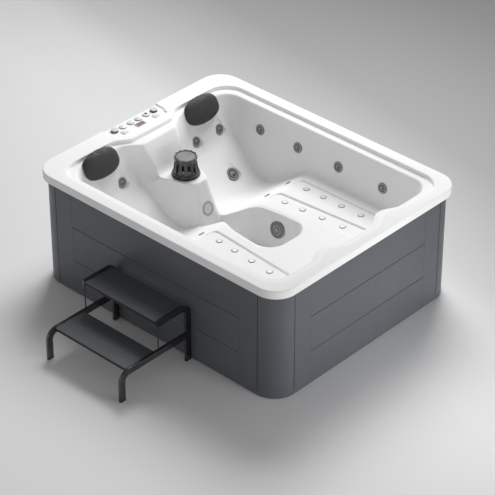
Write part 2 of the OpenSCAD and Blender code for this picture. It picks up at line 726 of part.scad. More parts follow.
// slotted skimmer body that stands on the housing and lifts out
basket_z = console_z + 14.8;
crown_z = filter_top - 20;
slot_w = 18;
slot_low = basket_z + 24;
slot_high = crown_z - 22;
module filter_slot() {
  translate([50, -slot_w / 2, slot_low]) cube([50, slot_w, slot_high - slot_low]);
  translate([50, 0, slot_high]) rotate([0, 90, 0]) cylinder(d = slot_w, h = 50);
}
module filter_basket() color([0.1, 0.1, 0.11]) translate([filter_x, 0, 0]) {
  difference() {
    union() {
      translate([0, 0, basket_z]) cylinder(d = 178, h = 11);
      translate([0, 0, basket_z + 10]) cylinder(d = 168, h = 8);
      translate([0, 0, basket_z + 17])
        cylinder(d1 = 166, d2 = 144, h = crown_z - basket_z - 16);
      // crown with twelve lobes round its rim
      translate([0, 0, crown_z]) cylinder(d = 140, h = filter_top - crown_z);
      for (a = [0:30:330]) rotate([0, 0, a + 15]) translate([62, 0, crown_z])
        cylinder(d = 28, h = filter_top - crown_z);
      translate([0, 0, basket_z - 30]) cylinder(d = 134, h = 31);
    }
    translate([0, 0, basket_z - 40]) cylinder(d = 124, h = 60);
    translate([0, 0, basket_z + 19])
      cylinder(d1 = 150, d2 = 130, h = crown_z - basket_z - 19);
    translate([0, 0, filter_top - 9]) cylinder(d = 127, h = 20);
    for (a = [0:30:330]) rotate([0, 0, a]) filter_slot();
  }
}
// grey disc that drops into the crown
module filter_lid() color([0.5, 0.52, 0.53])
  translate([filter_x, 0, filter_top - 8.7]) {
    cylinder(d = 126, h = 4);
    cylinder(d = 118, h = 5.5);
  }
module filter_cartridge() color([0.93, 0.93, 0.9])
  translate([filter_x, 0, 0]) difference() {
    union() {
      for (a = [0:15:345]) rotate([0, 0, a])
        translate([20, -3.2, canister_bottom + 16]) cube([37, 6.4, 200]);
      translate([0, 0, canister_bottom + 12]) cylinder(d = 122, h = 8);
      translate([0, 0, canister_bottom + 214]) cylinder(d = 122, h = 8);
      translate([0, 0, canister_bottom + 12]) cylinder(d = 62, h = 208);
      translate([0, 0, canister_bottom + 221]) cylinder(d = 40, h = 34);
      translate([0, 0, canister_bottom + 252]) cylinder(d = 123.5, h = 5);
    }
    translate([0, 0, canister_bottom]) cylinder(d = 30, h = 300);
  }

// Pillows
// foam headrests keyed over the ledge; each pulls off its two pins

pillow_l = 287;
slope = back_tilt;
// rounded oval with a flatter top edge; up and down from the pillow's centre
module pillow_outline(up, down, half) {
  mid = (up + down) / 2;
  r_top = mid * 0.62;
  r_mid = mid * 0.8;
  r_low = mid * 0.86;
  hull() for (s = [-1, 1]) {
    translate([r_top - up, s * (half - r_top - 12)])
      circle(r = r_top, $fn = 32);
    translate([(down - up) / 2 - 4, s * (half - r_mid)])
      circle(r = r_mid, $fn = 32);
    translate([down - r_low, s * (half - r_low - 24)])
      circle(r = r_low, $fn = 32);
  }
}
// clearance over the ledge, the riser and the upper back
module pillow_seat() rotate([90, 0, 0])
  linear_extrude(2 * pillow_l, center = true) polygon([
    [-1000, 600], [-766.5, 600], [-859.5, ledge_z - 1], [-866, ledge_z + 2],
    [-902, ledge_z + 3], [-904.5, ledge_z + 7], [-906.5, tub_h - 2],
    [-906, 900], [-1000, 900]]);
// turned in this much at the outer end, where the back curves into the wall
pillow_turn = 12;
pillow_turn_y = 90;
module pillow_solid() difference() {
  translate([-838, 0, 749]) rotate([0, slope, 0]) hull() {
    translate([0, 0, -34]) linear_extrude(24) pillow_outline(76, 74, 132);
    translate([0, 0, 0]) linear_extrude(12) pillow_outline(70, 86, pillow_l / 2);
    translate([0, 0, 22]) linear_extrude(4) pillow_outline(57, 82, 137);
    translate([0, 0, 35]) linear_extrude(2) pillow_outline(38, 67, 118);
    translate([0, 0, 42]) linear_extrude(2) pillow_outline(20, 45, 90);
  }
  pillow_seat();
  translate([-838, pillow_turn_y, 0]) rotate(-pillow_turn)
    translate([838, pillow_l, 0]) pillow_seat();
}
module pillow_near() color([0.2, 0.2, 0.21]) mirror([0, 1, 0])
  translate([0, pillow_y, 0]) pillow_solid();
module pillow_far() color([0.2, 0.2, 0.21]) translate([0, pillow_y, 0])
  pillow_solid();
module pin_at(s) translate([-838, s * 80, 749]) rotate([0, slope, 0]) children();
module pillow_pins() for (s = [-1, 1]) pin_at(s)
  translate([0, 0, -22]) cylinder(d = 9.9, h = 24);
module pillow_pins_near() color([0.6, 0.6, 0.6])
  translate([0, -pillow_y, 0]) pillow_pins();
module pillow_pins_far() color([0.6, 0.6, 0.6])
  translate([0, pillow_y, 0]) pillow_pins();

// Jets
// jet faces turn in the bodies behind the shell to open and close the flow

jet_hole = 38;
module jet_body(d, bore) {
  difference() {
    union() {
      translate([0, 0, 0.2]) cylinder(d = d + 16, h = 1.6);
      translate([0, 0, -72]) cylinder(d = d, h = 72.4);
      translate([0, 0, -26]) cylinder(d = d + 18, h = 12);
      translate([0, 0, -54]) rotate([90, 0, 0])
        cylinder(d = 22, h = d / 2 + 12);
      translate([0, 0, -38]) rotate([90, 0, 180])
        cylinder(d = 14, h = d / 2 + 12);
    }
    translate([0, 0, -62]) cylinder(r = bore, h = 80);
  }
}
module jet_bodies() color([0.8, 0.8, 0.78]) {
  for (x = wall_jets) {
    at_wall(x) jet_body(46, 19 + run_gap);
    at_near_wall(x) jet_body(46, 19 + run_gap);
  }
  for (b = back_jets) at_back(b[0]) translate([0, 0, -pocket]) rotate(90)
    jet_body(46, 19 + run_gap);
  for (s = [-1, 1]) at_low(s * 460) translate([0, 0, -pocket]) rotate(90)
    jet_body(62, 26 + run_gap);
}
// face of diameter d on a stem, with an eccentric nozzle
module jet_face(d, stem) {
  off = d * 0.13;
  difference() {
    union() {
      translate([0, 0, 2.2]) rotate_extrude() polygon([[0, 0], [d / 2, 0],
        [d / 2, 2], [d / 2 - 2, 4], [d * 0.36, 5], [d * 0.33, 3.4], [0, 3.4]]);
      translate([0, 0, -28]) cylinder(r = stem, h = 31);
      translate([off, 0, 4]) cylinder(d = d * 0.36, h = 5);
    }
    translate([off, 0, -30]) cylinder(d = d * 0.22, h = 50);
    for (a = [0:30:330]) rotate([0, 0, a]) translate([d * 0.42, 0, 5.6])
      cylinder(d = d * 0.06, h = 5);
  }
}
module small_face() color([0.55, 0.57, 0.58]) jet_face(jet_d, 19);
module big_face() color([0.55, 0.57, 0.58]) jet_face(big_jet_d, 26);
module jet_near_1() at_near_wall(wall_jets[0]) small_face();
module jet_near_2() at_near_wall(wall_jets[1]) small_face();
module jet_near_3() at_near_wall(wall_jets[2]) small_face();
module jet_near_4() at_near_wall(wall_jets[3]) small_face();
module jet_far_1() at_wall(wall_jets[0]) small_face();
module jet_far_2() at_wall(wall_jets[1]) small_face();
module jet_far_3() at_wall(wall_jets[2]) small_face();
module jet_far_4() at_wall(wall_jets[3]) small_face();
module back_face(i) at_back(back_jets[i][0]) translate([0, 0, -pocket])
  small_face();
module jet_back_1() back_face(0);
module jet_back_2() back_face(1);
module jet_back_3() back_face(2);
module jet_back_4() back_face(3);
module jet_low_near() at_low(-460) translate([0, 0, -pocket]) big_face();
module jet_low_far() at_low(460) translate([0, 0, -pocket]) big_face();

// mushroom caps of the air injectors in the leg channels
module air_injectors() color([0.85, 0.85, 0.84])
  mirror_y() for (x = injector_x) for (y = [inner_line(x), outer_line(x)])
    translate([x, y, deck_z - channel_d]) {
      translate([0, 0, 0.3]) rotate_extrude() polygon([[0, 0], [19.5, 0],
        [19.5, 2.5], [17, 5], [10, 6], [0, 6.2]]);
      translate([0, 0, -32]) cylinder(d = 12, h = 33);
      translate([0, 0, -34]) cylinder(d = 18, h = 20);
    }
slot_x = -98;
slot_y = [309, 511];
module at_slot(y) translate([slot_x, y, lounge(slot_x)]) rotate([0, -32, 0])
  children();
module drain_slots() color([0.2, 0.2, 0.2]) mirror_y() for (y = slot_y)
  at_slot(y) difference() {
    union() {
      translate([-8, -20, 1.4]) cube([16, 40, 2]);
      translate([-3, -14, -16]) cube([6, 28, 18]);
    }
    translate([-1.5, -12, -18]) cube([3, 24, 30]);
  }
module suction_bodies() color([0.8, 0.8, 0.78]) mirror_y() at_suction()
  difference() {
    union() {
      translate([0, 0, -5.8]) cylinder(d = 100, h = 4);
      translate([0, 0, -62]) cylinder(d = 55, h = 60);
      translate([0, 0, -34]) cylinder(d = 76, h = 12);
    }
    translate([0, 0, -56]) cylinder(d = 46, h = 80);
  }
// anti-trap cover with concentric rings and slots round the side
module suction_covers() color([0.5, 0.52, 0.53]) mirror_y() at_suction()
  difference() {
    translate([0, 0, -1.6]) rotate_extrude() polygon([[0, 0], [56, 0], [56, 4],
      [52, 8], [44, 9], [42, 7.5], [36, 7.5], [34, 11], [26, 12], [24, 10],
      [18, 10], [16, 14], [0, 15]]);
    for (a = [0:30:330]) rotate([0, 0, a]) translate([-1.5, 45, 0])
      cube([3, 20, 4.5]);
  }
module light_body() color([0.55, 0.57, 0.58]) at_light() {
  difference() {
    union() {
      translate([0, 0, -4.8]) rotate_extrude() polygon([[34, 0], [46, 0],
        [46, 6], [43, 8.5], [36, 8.5], [34, 6]]);
      translate([0, 0, -42]) cylinder(d = 69, h = 37.5);
      translate([0, 0, -42]) cylinder(d = 86, h = 8);
    }
    translate([0, 0, -38]) cylinder(d = 62, h = 60);
  }
}
module light_lens() color([0.9, 0.92, 0.95, 0.6]) at_light() {
  translate([0, 0, -4.2]) cylinder(d = 67.6, h = 5);
  translate([0, 0, -30]) cylinder(d = 61.5, h = 26);
}

// Equipment
// under the shell at the head end, behind the access panel

pump_x = -880;
pump_z = 150;
module jet_pump() color([0.25, 0.3, 0.35]) translate([pump_x, 0, 0]) {
  translate([0, 70, pump_z]) rotate([-90, 0, 0]) cylinder(d = 150, h = 250);
  translate([0, 320, pump_z]) rotate([-90, 0, 0]) cylinder(d = 158, h = 30);
  translate([0, -40, pump_z]) rotate([-90, 0, 0]) cylinder(d = 176, h = 90);
  translate([0, 49, pump_z]) rotate([-90, 0, 0]) cylinder(d = 110, h = 22);
  translate([0, -80, pump_z]) rotate([-90, 0, 0]) cylinder(d = 56, h = 41);
  translate([-20, 0, pump_z + 60]) cylinder(d = 56, h = 60);
  for (a = [0:30:330]) translate([0, 195, pump_z]) rotate([0, a, 0])
    translate([70, -110, -2]) cube([12, 220, 4]);
  translate([-60, 60, pan_floor]) cube([120, 220, 10]);
  for (y = [80, 240]) translate([-40, y, pan_floor + 9]) cube([80, 20, 66]);
}
module blower() color([0.15, 0.16, 0.17]) translate([pump_x, -520, 0]) {
  translate([0, 0, pan_floor]) cylinder(d = 120, h = 14);
  translate([0, 0, pan_floor + 13]) cylinder(d = 156, h = 90);
  translate([0, 0, pan_floor + 102]) cylinder(d = 110, h = 80);
  translate([0, 60, pan_floor + 60]) rotate([-90, 0, 0])
    cylinder(d = 44, h = 60);
}
module control_box() color([0.3, 0.31, 0.33]) translate([pump_x, 520, 0]) {
  translate([-55, -130, pan_floor + 110]) cube([110, 260, 240]);
  translate([-60, -135, pan_floor + 349]) cube([120, 270, 14]);
  translate([0, -120, pan_floor + 64]) rotate([-90, 0, 0])
    cylinder(d = 64, h = 240);
  for (y = [-90, 90]) translate([-30, y - 8, pan_floor]) cube([60, 16, 112]);
}
pipe_d = 40;
manifold_y = 745;
manifold_z = 560;
riser_pipe_y = 737.5;
riser_top = 588;
cross_x = -905;
sump_x = -774;
sump_z = 110;
// straight pipe of diameter d from a to b
module run(a, b, d) {
  v = b - a;
  translate(a) rotate([0, acos(v[2] / norm(v)), atan2(v[1], v[0])])
    cylinder(d = d, h = norm(v));
}
module pipework() color([0.9, 0.9, 0.88]) {
  pts = [[600, manifold_y, manifold_z], [cross_x, manifold_y, manifold_z],
         [cross_x, -manifold_y, manifold_z], [600, -manifold_y, manifold_z]];
  for (i = [0:2]) run(pts[i], pts[i + 1], 32);
  for (p = pts) translate(p) sphere(d = 32);
  for (s = [-1, 1]) for (x = wall_jets)
    run([x, s * riser_pipe_y, manifold_z], [x, s * riser_pipe_y, riser_top], 18);
  // pump discharge up to the cross pipe
  run([pump_x - 20, 0, pump_z + 121], [pump_x - 20, 0, manifold_z], pipe_d);
  // suction lines from the footwell fittings back to the pump
  for (s = [-1, 1]) {
    a = [suction_x, s * 237, 379];
    b = [suction_x, s * 237, sump_z];
    c = [sump_x, s * 237, sump_z];
    run(a, b, pipe_d);
    run(b, c, pipe_d);
    translate(a) sphere(d = pipe_d);
    translate(b) sphere(d = pipe_d);
    translate(c) sphere(d = pipe_d);
  }
  run([sump_x, -237, sump_z], [sump_x, 237, sump_z], pipe_d);
  run([sump_x, -130, sump_z], [pump_x, -130, sump_z], pipe_d);
  translate([pump_x, -130, sump_z]) sphere(d = 48);
  run([pump_x, -130, sump_z], [pump_x, -130, pump_z], pipe_d);
  translate([pump_x, -130, pump_z]) sphere(d = 48);
  run([pump_x, -130, pump_z], [pump_x, -81, pump_z], pipe_d);
  // filter outlet
  run([filter_x - 131, 0, 370], [-730, 0, 370], 44);
  translate([-730, 0, 370]) sphere(d = 44);
  run([-730, 0, 370], [-730, 0, sump_z], pipe_d);
  run([sump_x, 0, sump_z], [-730, 0, sump_z], pipe_d);
  translate([-730, 0, sump_z]) sphere(d = pipe_d);
}
drain_pin = 26.4;
module drain_valve() color([0.75, 0.76, 0.77])
  translate([drain_x, 0, drain_z]) rotate([-90, 0, 0]) difference() {
    union() {
      translate([0, 0, cab_y + 0.2]) cylinder(d = 44, h = 2);
      translate([0, 0, cab_y + 2]) cylinder(d = drain_pin, h = 16);
      translate([0, 0, cab_y - 90]) cylinder(d = 28, h = 91);
    }
    translate([0, 0, cab_y - 80]) cylinder(d = 19, h = 120);
  }

// Steps
// free-standing steps of bent flat tube with slate treads, beside the near panel

step_x = -6;
front_y = -1434;
rear_y = -864;
bend_r = 60;
lo_rail_z = 195;
hi_rail_z = 411;
hi_front_y = -1130;
foot_h = 12;
rod_d = 8;
bar_d = 14;
// leg from the foot up into a bend and a level rail, dir = side it bends to
module bent_leg(y, rail_z, end_y, dir) translate([-tube_t / 2, 0, 0]) {
  bend_y = y + dir * bend_r;
  translate([0, y - tube_w / 2, foot_h])
    cube([tube_t, tube_w, rail_z - bend_r - foot_h]);
  translate([0, bend_y, rail_z - bend_r]) rotate([90, 0, 90])
    rotate(dir > 0 ? 90 : 0) rotate_extrude(angle = 90)
      translate([bend_r - tube_w / 2, 0]) square([tube_w, tube_t]);
  translate([0, min(bend_y, end_y), rail_z - tube_w / 2])
    cube([tube_t, abs(end_y - bend_y), tube_w]);
}
module steps_frame() color([0.08, 0.08, 0.09]) translate([step_x, 0, 0]) {
  for (s = [-1, 1]) translate([s * step_w / 2, 0, 0]) {
    bent_leg(front_y, lo_rail_z, rear_y - tube_w / 2 + 1, 1);
    bent_leg(rear_y, hi_rail_z, hi_front_y, -1);
    translate([0, hi_front_y + 10, lo_rail_z])
      cylinder(d = rod_d, h = hi_rail_z - lo_rail_z);
  }
  // cross bars that carry the treads
  for (c = [[tread_lo_y0 + 12, tread_lo], [tread_lo_y1 - 12, tread_lo],
            [tread_hi_y0 + 12, tread_hi], [tread_hi_y1 - 12, tread_hi]])
    translate([-step_w / 2, c[0], c[1] - tread_t - bar_d / 2 - 0.2])
      rotate([0, 90, 0]) cylinder(d = bar_d, h = step_w);
}
tread_lo_y0 = -1388;
tread_lo_y1 = -1148;
tread_hi_y0 = -1130;
tread_hi_y1 = -892;
tread_t = 16;
module tread(y0, y1, z) {
  half = step_w / 2 - tube_t / 2 - 1;
  translate([step_x - half, y0, z - tread_t]) cube([2 * half, y1 - y0, tread_t]);
}
module steps_treads() color([0.3, 0.33, 0.35]) {
  tread(tread_lo_y0, tread_lo_y1, tread_lo);
  tread(tread_hi_y0, tread_hi_y1, tread_hi);
}
module steps_feet() color([0.12, 0.12, 0.12])
  for (s = [-1, 1]) for (y = [front_y, rear_y])
    translate([step_x + s * step_w / 2, y, 0])
      slab(tube_t / 2 + 1, tube_w / 2 + 1, 4, foot_h);

shell();
base_pan();
frame();
corner_covers();
panel_near();
panel_far();
panel_foot();
panel_head();
panel_screws();
display_panel();
display_screen();
valve_bodies();
diverter_near();
diverter_far();
air_knob_1();
air_knob_2();
air_knob_3();
air_knob_4();
button_bodies();
button_near();
button_far();
filter_housing();
filter_basket();
filter_lid();
filter_cartridge();
pillow_near();
pillow_far();
pillow_pins_near();
pillow_pins_far();
jet_bodies();
jet_near_1();
jet_near_2();
jet_near_3();
jet_near_4();
jet_far_1();
jet_far_2();
jet_far_3();
jet_far_4();
jet_back_1();
jet_back_2();
jet_back_3();
jet_back_4();
jet_low_near();
jet_low_far();
air_injectors();
drain_slots();
suction_bodies();
suction_covers();
light_body();
light_lens();
jet_pump();
blower();
control_box();
pipework();
drain_valve();
steps_frame();
steps_treads();
steps_feet();
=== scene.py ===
import math

import bpy
import numpy as np
from mathutils import Matrix, Vector


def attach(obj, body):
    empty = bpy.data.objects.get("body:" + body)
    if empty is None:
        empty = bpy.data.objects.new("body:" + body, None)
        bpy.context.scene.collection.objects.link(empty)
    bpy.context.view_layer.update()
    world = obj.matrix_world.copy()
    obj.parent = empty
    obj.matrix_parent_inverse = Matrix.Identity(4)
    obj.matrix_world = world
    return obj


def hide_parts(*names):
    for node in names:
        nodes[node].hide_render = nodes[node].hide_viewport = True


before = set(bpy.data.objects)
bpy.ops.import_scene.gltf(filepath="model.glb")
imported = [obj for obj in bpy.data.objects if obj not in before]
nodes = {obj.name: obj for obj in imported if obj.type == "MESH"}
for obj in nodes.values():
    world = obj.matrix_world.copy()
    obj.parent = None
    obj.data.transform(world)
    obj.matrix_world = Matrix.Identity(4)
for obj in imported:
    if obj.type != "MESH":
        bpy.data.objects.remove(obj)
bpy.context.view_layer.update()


# Studio
# a pale floor with painted falloff of light that darkens it towards the far side,
# a sky brighter low down than overhead, a soft lamp high up behind the far side,
# and a low, narrow one past the foot end

CAMERA_AT = (8.277, -8.897, 8.476)
CAMERA_TURN = math.radians(42.89)
CAMERA_TILT = math.radians(34.04)
LENS = 165.56
SKY_LOW, SKY_HIGH = 0.84, 0.19
SKY_START, SKY_END = 0.1, 0.7

# painted falloff of light on the floor: its grey by its distance towards the far side,
# on a line slanted along the tub, and the painted shade that dims it towards the head end
FLOOR_PAINTED_FALLOFF = ((-1.5, 0.83), (0.30, 0.78), (0.90, 0.68), (1.25, 0.52), (2.18, 0.31),
               (3.64, 0.22), (5.5, 0.185))
FLOOR_START, FLOOR_END, FLOOR_SLANT = -2, 6, 0.2
PAINTED_DIM_START, PAINTED_DIM_END, PAINTED_DIM_LEAST = -2.4, 0.6, 0.79


def node(tree, kind, values=None, **settings):
    made = tree.nodes.new(kind)
    for name, value in settings.items():
        setattr(made, name, value)
    for socket, value in (values or {}).items():
        if isinstance(value, bpy.types.NodeSocket):
            tree.links.new(value, made.inputs[socket])
        else:
            made.inputs[socket].default_value = value
    return made


def new_material(name):
    made = bpy.data.materials.new(name)
    made.use_nodes = True
    return made, made.node_tree, made.node_tree.nodes["Principled BSDF"]


def ramp(tree, factor, stops):
    """Colour ramp with these stops and no others, as (place, colour) inside 0 to 1."""
    made = node(tree, "ShaderNodeValToRGB", {0: factor})
    for place, colour in stops:
        made.color_ramp.elements.new(place).color = colour
    made.color_ramp.elements.remove(made.color_ramp.elements[0])
    made.color_ramp.elements.remove(made.color_ramp.elements[-1])
    return made.outputs[0]


scene = bpy.context.scene
scene.view_settings.view_transform = "Standard"
camera = bpy.data.objects.new("camera", bpy.data.cameras.new("camera"))
scene.collection.objects.link(camera)
camera.location = CAMERA_AT
look = Vector((-math.sin(CAMERA_TURN) * math.cos(CAMERA_TILT),
               math.cos(CAMERA_TURN) * math.cos(CAMERA_TILT),
               -math.sin(CAMERA_TILT)))
camera.rotation_mode = "QUATERNION"
camera.rotation_quaternion = look.to_track_quat("-Z", "Y")
camera.data.sensor_width = 36
camera.data.lens = LENS
camera.data.clip_end = 200
scene.camera = camera


def lamp(name, at, aim, width, height, power, spread=180):
    """Rectangular lamp at one point, facing another, with its beam in degrees."""
    data = bpy.data.lights.new(name, "AREA")
    data.spread = math.radians(spread)
    data.shape = "RECTANGLE"
    data.size, data.size_y, data.energy = width, height, power
    made = bpy.data.objects.new(name, data)
    scene.collection.objects.link(made)
    made.location = at
    made.rotation_mode = "QUATERNION"
    made.rotation_quaternion = (Vector(aim) - Vector(at)).to_track_quat("-Z", "Y")


lamp("top_light", (-1.8, 3.0, 5.0), (0.1, 0, 0.4), 3.4, 3.4, 370)
lamp("foot_light", (5.2, 0.3, 0.80), (1.0, 0.1, 0.5), 1.6, 0.9, 11, spread=50)

world = bpy.data.worlds.new("studio")
scene.world = world
world.use_nodes = True
tree = world.node_tree
sky_at = node(tree, "ShaderNodeSeparateXYZ",
              {0: node(tree, "ShaderNodeTexCoord").outputs["Generated"]})
sky_level = node(tree, "ShaderNodeMapRange", {
    "Value": sky_at.outputs["Z"], "From Min": SKY_START, "From Max": SKY_END,
    "To Min": SKY_LOW, "To Max": SKY_HIGH})
tree.nodes["Background"].inputs["Color"].default_value = (1, 1, 1, 1)
tree.links.new(sky_level.outputs[0], tree.nodes["Background"].inputs["Strength"])

bpy.ops.mesh.primitive_plane_add(size=60)
floor = bpy.context.object
floor.name = "studio_floor"
paint, tree, shader = new_material("floor_painted_falloff")
# painted falloff of light: the floor darkens towards the far side and is dimmed towards the head
# end
floor_at = node(tree, "ShaderNodeSeparateXYZ",
                {0: node(tree, "ShaderNodeTexCoord").outputs["Object"]})
slant = node(tree, "ShaderNodeMath",
             {0: floor_at.outputs["X"], 1: FLOOR_SLANT, 2: floor_at.outputs["Y"]},
             operation="MULTIPLY_ADD")
away = node(tree, "ShaderNodeMapRange", {
    "Value": slant.outputs[0], "From Min": FLOOR_START, "From Max": FLOOR_END})
tone = ramp(tree, away.outputs[0],
            [((place - FLOOR_START) / (FLOOR_END - FLOOR_START), (grey, grey, grey * 1.01, 1))
             for place, grey in FLOOR_PAINTED_FALLOFF])
painted_dim = node(tree, "ShaderNodeMapRange", {
    "Value": floor_at.outputs["X"], "From Min": PAINTED_DIM_START, "From Max": PAINTED_DIM_END,
    "To Min": PAINTED_DIM_LEAST, "To Max": 1}, interpolation_type="SMOOTHSTEP")
painted_falloff = node(tree, "ShaderNodeVectorMath", {0: tone, 1: painted_dim.outputs[0]},
                  operation="MULTIPLY")
tree.links.new(painted_falloff.outputs[0], shader.inputs["Base Color"])
shader.inputs["Roughness"].default_value = 0.6
floor.data.materials.append(paint)


# Base pan, frame and inside equipment
# a black formed tray, welded rings and posts of galvanised tube, the pump, blower
# and control box behind the head panel, their white pipes, and a steel drain


def object_coords(tree):
    return node(tree, "ShaderNodeTexCoord").outputs["Object"]


def noise(tree, where, scale, detail=3, stretch=(1, 1, 1)):
    moved = node(tree, "ShaderNodeMapping", {"Vector": where, "Scale": stretch})
    return node(tree, "ShaderNodeTexNoise",
                {"Vector": moved.outputs[0], "Scale": scale, "Detail": detail}).outputs["Fac"]


def between(tree, value, low, high, start=0.3, end=0.7):
    """Run from low to high while the value goes from start to end."""
    return node(tree, "ShaderNodeMapRange", {"Value": value, "From Min": start, "From Max": end,
                                             "To Min": low, "To Max": high}).outputs[0]


def tinted(tree, factor, first, second):
    return node(tree, "ShaderNodeMix", {"Factor": factor, "A": (*first, 1), "B": (*second, 1)},
                data_type="RGBA").outputs["Result"]


def shaded(colour, by):
    return tuple(min(1, c * by) for c in colour)


def moulded(name, colour, rough, spread=0.1, edge=0.0012, coat=0.0):
    """Moulded plastic or painted skin: cloudy tone, fine grain, softly worn edges."""
    made, tree, shader = new_material(name)
    where = object_coords(tree)
    cloud = between(tree, noise(tree, where, 7, 4), 0, 1)
    body = tinted(tree, cloud, shaded(colour, 1 - spread), shaded(colour, 1 + spread))
    rounded = node(tree, "ShaderNodeBevel", {"Radius": edge}, samples=4).outputs[0]
    flat = node(tree, "ShaderNodeNewGeometry").outputs["Normal"]
    turn = node(tree, "ShaderNodeVectorMath", {0: rounded, 1: flat}, operation="DOT_PRODUCT")
    worn = between(tree, turn.outputs["Value"], 0.5, 0, 0.8, 0.99)
    skin = node(tree, "ShaderNodeMix", {"Factor": worn, "A": body,
                                        "B": (*shaded(colour, 1.5), 1)}, data_type="RGBA")
    tree.links.new(skin.outputs["Result"], shader.inputs["Base Color"])
    tree.links.new(between(tree, noise(tree, where, 23, 5), rough - 0.05, rough + 0.05),
                   shader.inputs["Roughness"])
    bump = node(tree, "ShaderNodeBump", {"Height": noise(tree, where, 1400, 2),
                                         "Distance": 0.00004, "Strength": 1.0, "Normal": rounded})
    tree.links.new(bump.outputs[0], shader.inputs["Normal"])
    shader.inputs["Coat Weight"].default_value = coat
    shader.inputs["Coat Roughness"].default_value = 0.15
    return made


def galvanised(name, colour, rough):
    """Zinc-coated tube with its faint spangle."""
    made, tree, shader = new_material(name)
    where = object_coords(tree)
    cells = node(tree, "ShaderNodeTexVoronoi", {"Vector": where, "Scale": 90})
    tone = node(tree, "ShaderNodeSeparateColor", {0: cells.outputs["Color"]}).outputs[0]
    tree.links.new(tinted(tree, tone, shaded(colour, 0.8), shaded(colour, 1.15)),
                   shader.inputs["Base Color"])
    tree.links.new(between(tree, tone, rough - 0.08, rough + 0.08, 0, 1),
                   shader.inputs["Roughness"])
    shader.inputs["Metallic"].default_value = 1
    return made


def dress(material, *names):
    """Give the CAD nodes of these names one material."""
    for name in names:
        nodes[name].data.materials.clear()
        nodes[name].data.materials.append(material)


dress(moulded("pan_black", (0.02, 0.021, 0.023), 0.55), "base_pan")
dress(galvanised("zinc", (0.55, 0.57, 0.59), 0.45), "frame")
dress(moulded("pump_paint", (0.035, 0.06, 0.10), 0.4), "jet_pump")
dress(moulded("housing_grey", (0.06, 0.065, 0.07), 0.5), "blower", "control_box")
dress(moulded("pipe_white", (0.72, 0.73, 0.72), 0.38), "pipework", "jet_bodies", "suction_bodies")
dress(galvanised("valve_steel", (0.62, 0.62, 0.60), 0.3), "drain_valve")


# Cabinet
# slate-grey composite boards with two scored lines each, round corner covers,
# and a head-end board held by six stainless screws

SLATE = (0.083, 0.0905, 0.1005)


def slate_board(name, colour, rough):
    """Satin board with a faint brushed grain along its length."""
    made, tree, shader = new_material(name)
    where = object_coords(tree)
    cloud = between(tree, noise(tree, where, 1.6, 3), 0, 1)
    body = tinted(tree, cloud, shaded(colour, 0.93), shaded(colour, 1.07))
    grain = noise(tree, where, 60, 4, (1, 1, 14))
    lined = node(tree, "ShaderNodeMix", {"Factor": between(tree, grain, 0, 0.35), "A": body,
                                         "B": (*shaded(colour, 1.25), 1)}, data_type="RGBA")
    rounded = node(tree, "ShaderNodeBevel", {"Radius": 0.0015}, samples=4).outputs[0]
    tree.links.new(lined.outputs["Result"], shader.inputs["Base Color"])
    tree.links.new(between(tree, noise(tree, where, 15, 5), rough - 0.06, rough + 0.06),
                   shader.inputs["Roughness"])
    bump = node(tree, "ShaderNodeBump", {"Height": grain, "Distance": 0.00008, "Strength": 1.0,
                                         "Normal": rounded})
    tree.links.new(bump.outputs[0], shader.inputs["Normal"])
    return made


cladding = slate_board("slate", SLATE, 0.42)
dress(cladding, "panel_near", "panel_far", "panel_foot", "panel_head", "corner_covers")
dress(galvanised("screw_steel", (0.7, 0.7, 0.72), 0.25), "panel_screws")


# Shell
# vacuum-formed white acrylic in one sheet: rolled lip, rim with a recess for
# the controls, ledge, walls, two loungers, leg channels, footwell and console

# heights of the rim, the lip's lower edge, the ledge, and the floors inside
TOP_Z, LIP_Z, LEDGE_Z = 0.820, 0.765, 0.793
DECK_Z, SEAT_Z, PIT_Z, CONSOLE_Z = 0.505, 0.312, 0.265, 0.600
SHEET, BACKED = 0.008, 0.022

# rings in plan: reach to the foot, to the head and to a side, corner radius
LEDGE_Y = 0.722
LIP = (1.050, 1.050, 0.860, 0.153)
LAND = (1.010, 0.912, 0.820, 0.140)
UNDER_LAND = (1.000, 0.922, 0.810, 0.140)
RISER = (0.972, 0.908, 0.776, 0.150)
LEDGE = (0.909, 0.862, LEDGE_Y, 0.120)
BULGE = 0.070
RISER_BULGE, LEDGE_BULGE = (0.165, 0.310, BULGE), (0.125, 0.300, BULGE + 0.020)
CONSOLE_BULGE = (0.142, 0.205, 0.113)

# recess for the controls: depth, edge towards the basin, half width, and where
# and how far its ends curve in
RECESS, RECESS_STEP = 0.012, 0.004
RECESS_X, RECESS_HALF = -0.905, 0.240
CURVE_X, CURVE_RUN, CURVE_IN = -0.990, 0.070, 0.024

# walls and floors: backrest, lower back and seat front as a point and a slope,
# the console's side as a point and its direction
WALL_TILT = math.radians(11)
DRAFT = math.tan(WALL_TILT)
FILLET = 0.026
BACK_X, BACK_Z, BACK_FALL = -0.765, 0.593, 2.06
LUMBAR_X, LUMBAR_Z, LUMBAR_FALL = -0.732, 0.540, 0.814
THIGH_X, THIGH_RISE = -0.060, 0.685
NOSE_X, NOSE_SLOPE = -0.395, 3.07
FLANK_AT, FLANK_WAY = (-0.647, 0.148), (0.284, 0.959)
PIT_X, PIT_RUN, PIT_R = 0.385, 0.25, 0.062
HEAD_X = BACK_X + FILLET
FOOT_X = LEDGE[0] - 0.056 - FILLET
CORNER_R = {"head": 0.060, "foot": 0.072}

# how softly the console joins the loungers: at the head, at its nose, and where
# it changes
JOIN_HEAD, JOIN_NOSE, JOIN_X, JOIN_RUN = 0.150, 0.040, -0.420, 0.120

# the foot wall's waves, and the hollow in its middle
WAVE_Y, WAVE_HALF, WAVE_DEEP = 0.280, 0.150, 0.054
HOLLOW_Y, HOLLOW_RUN, HOLLOW_DEEP = 0.100, 0.130, 0.016

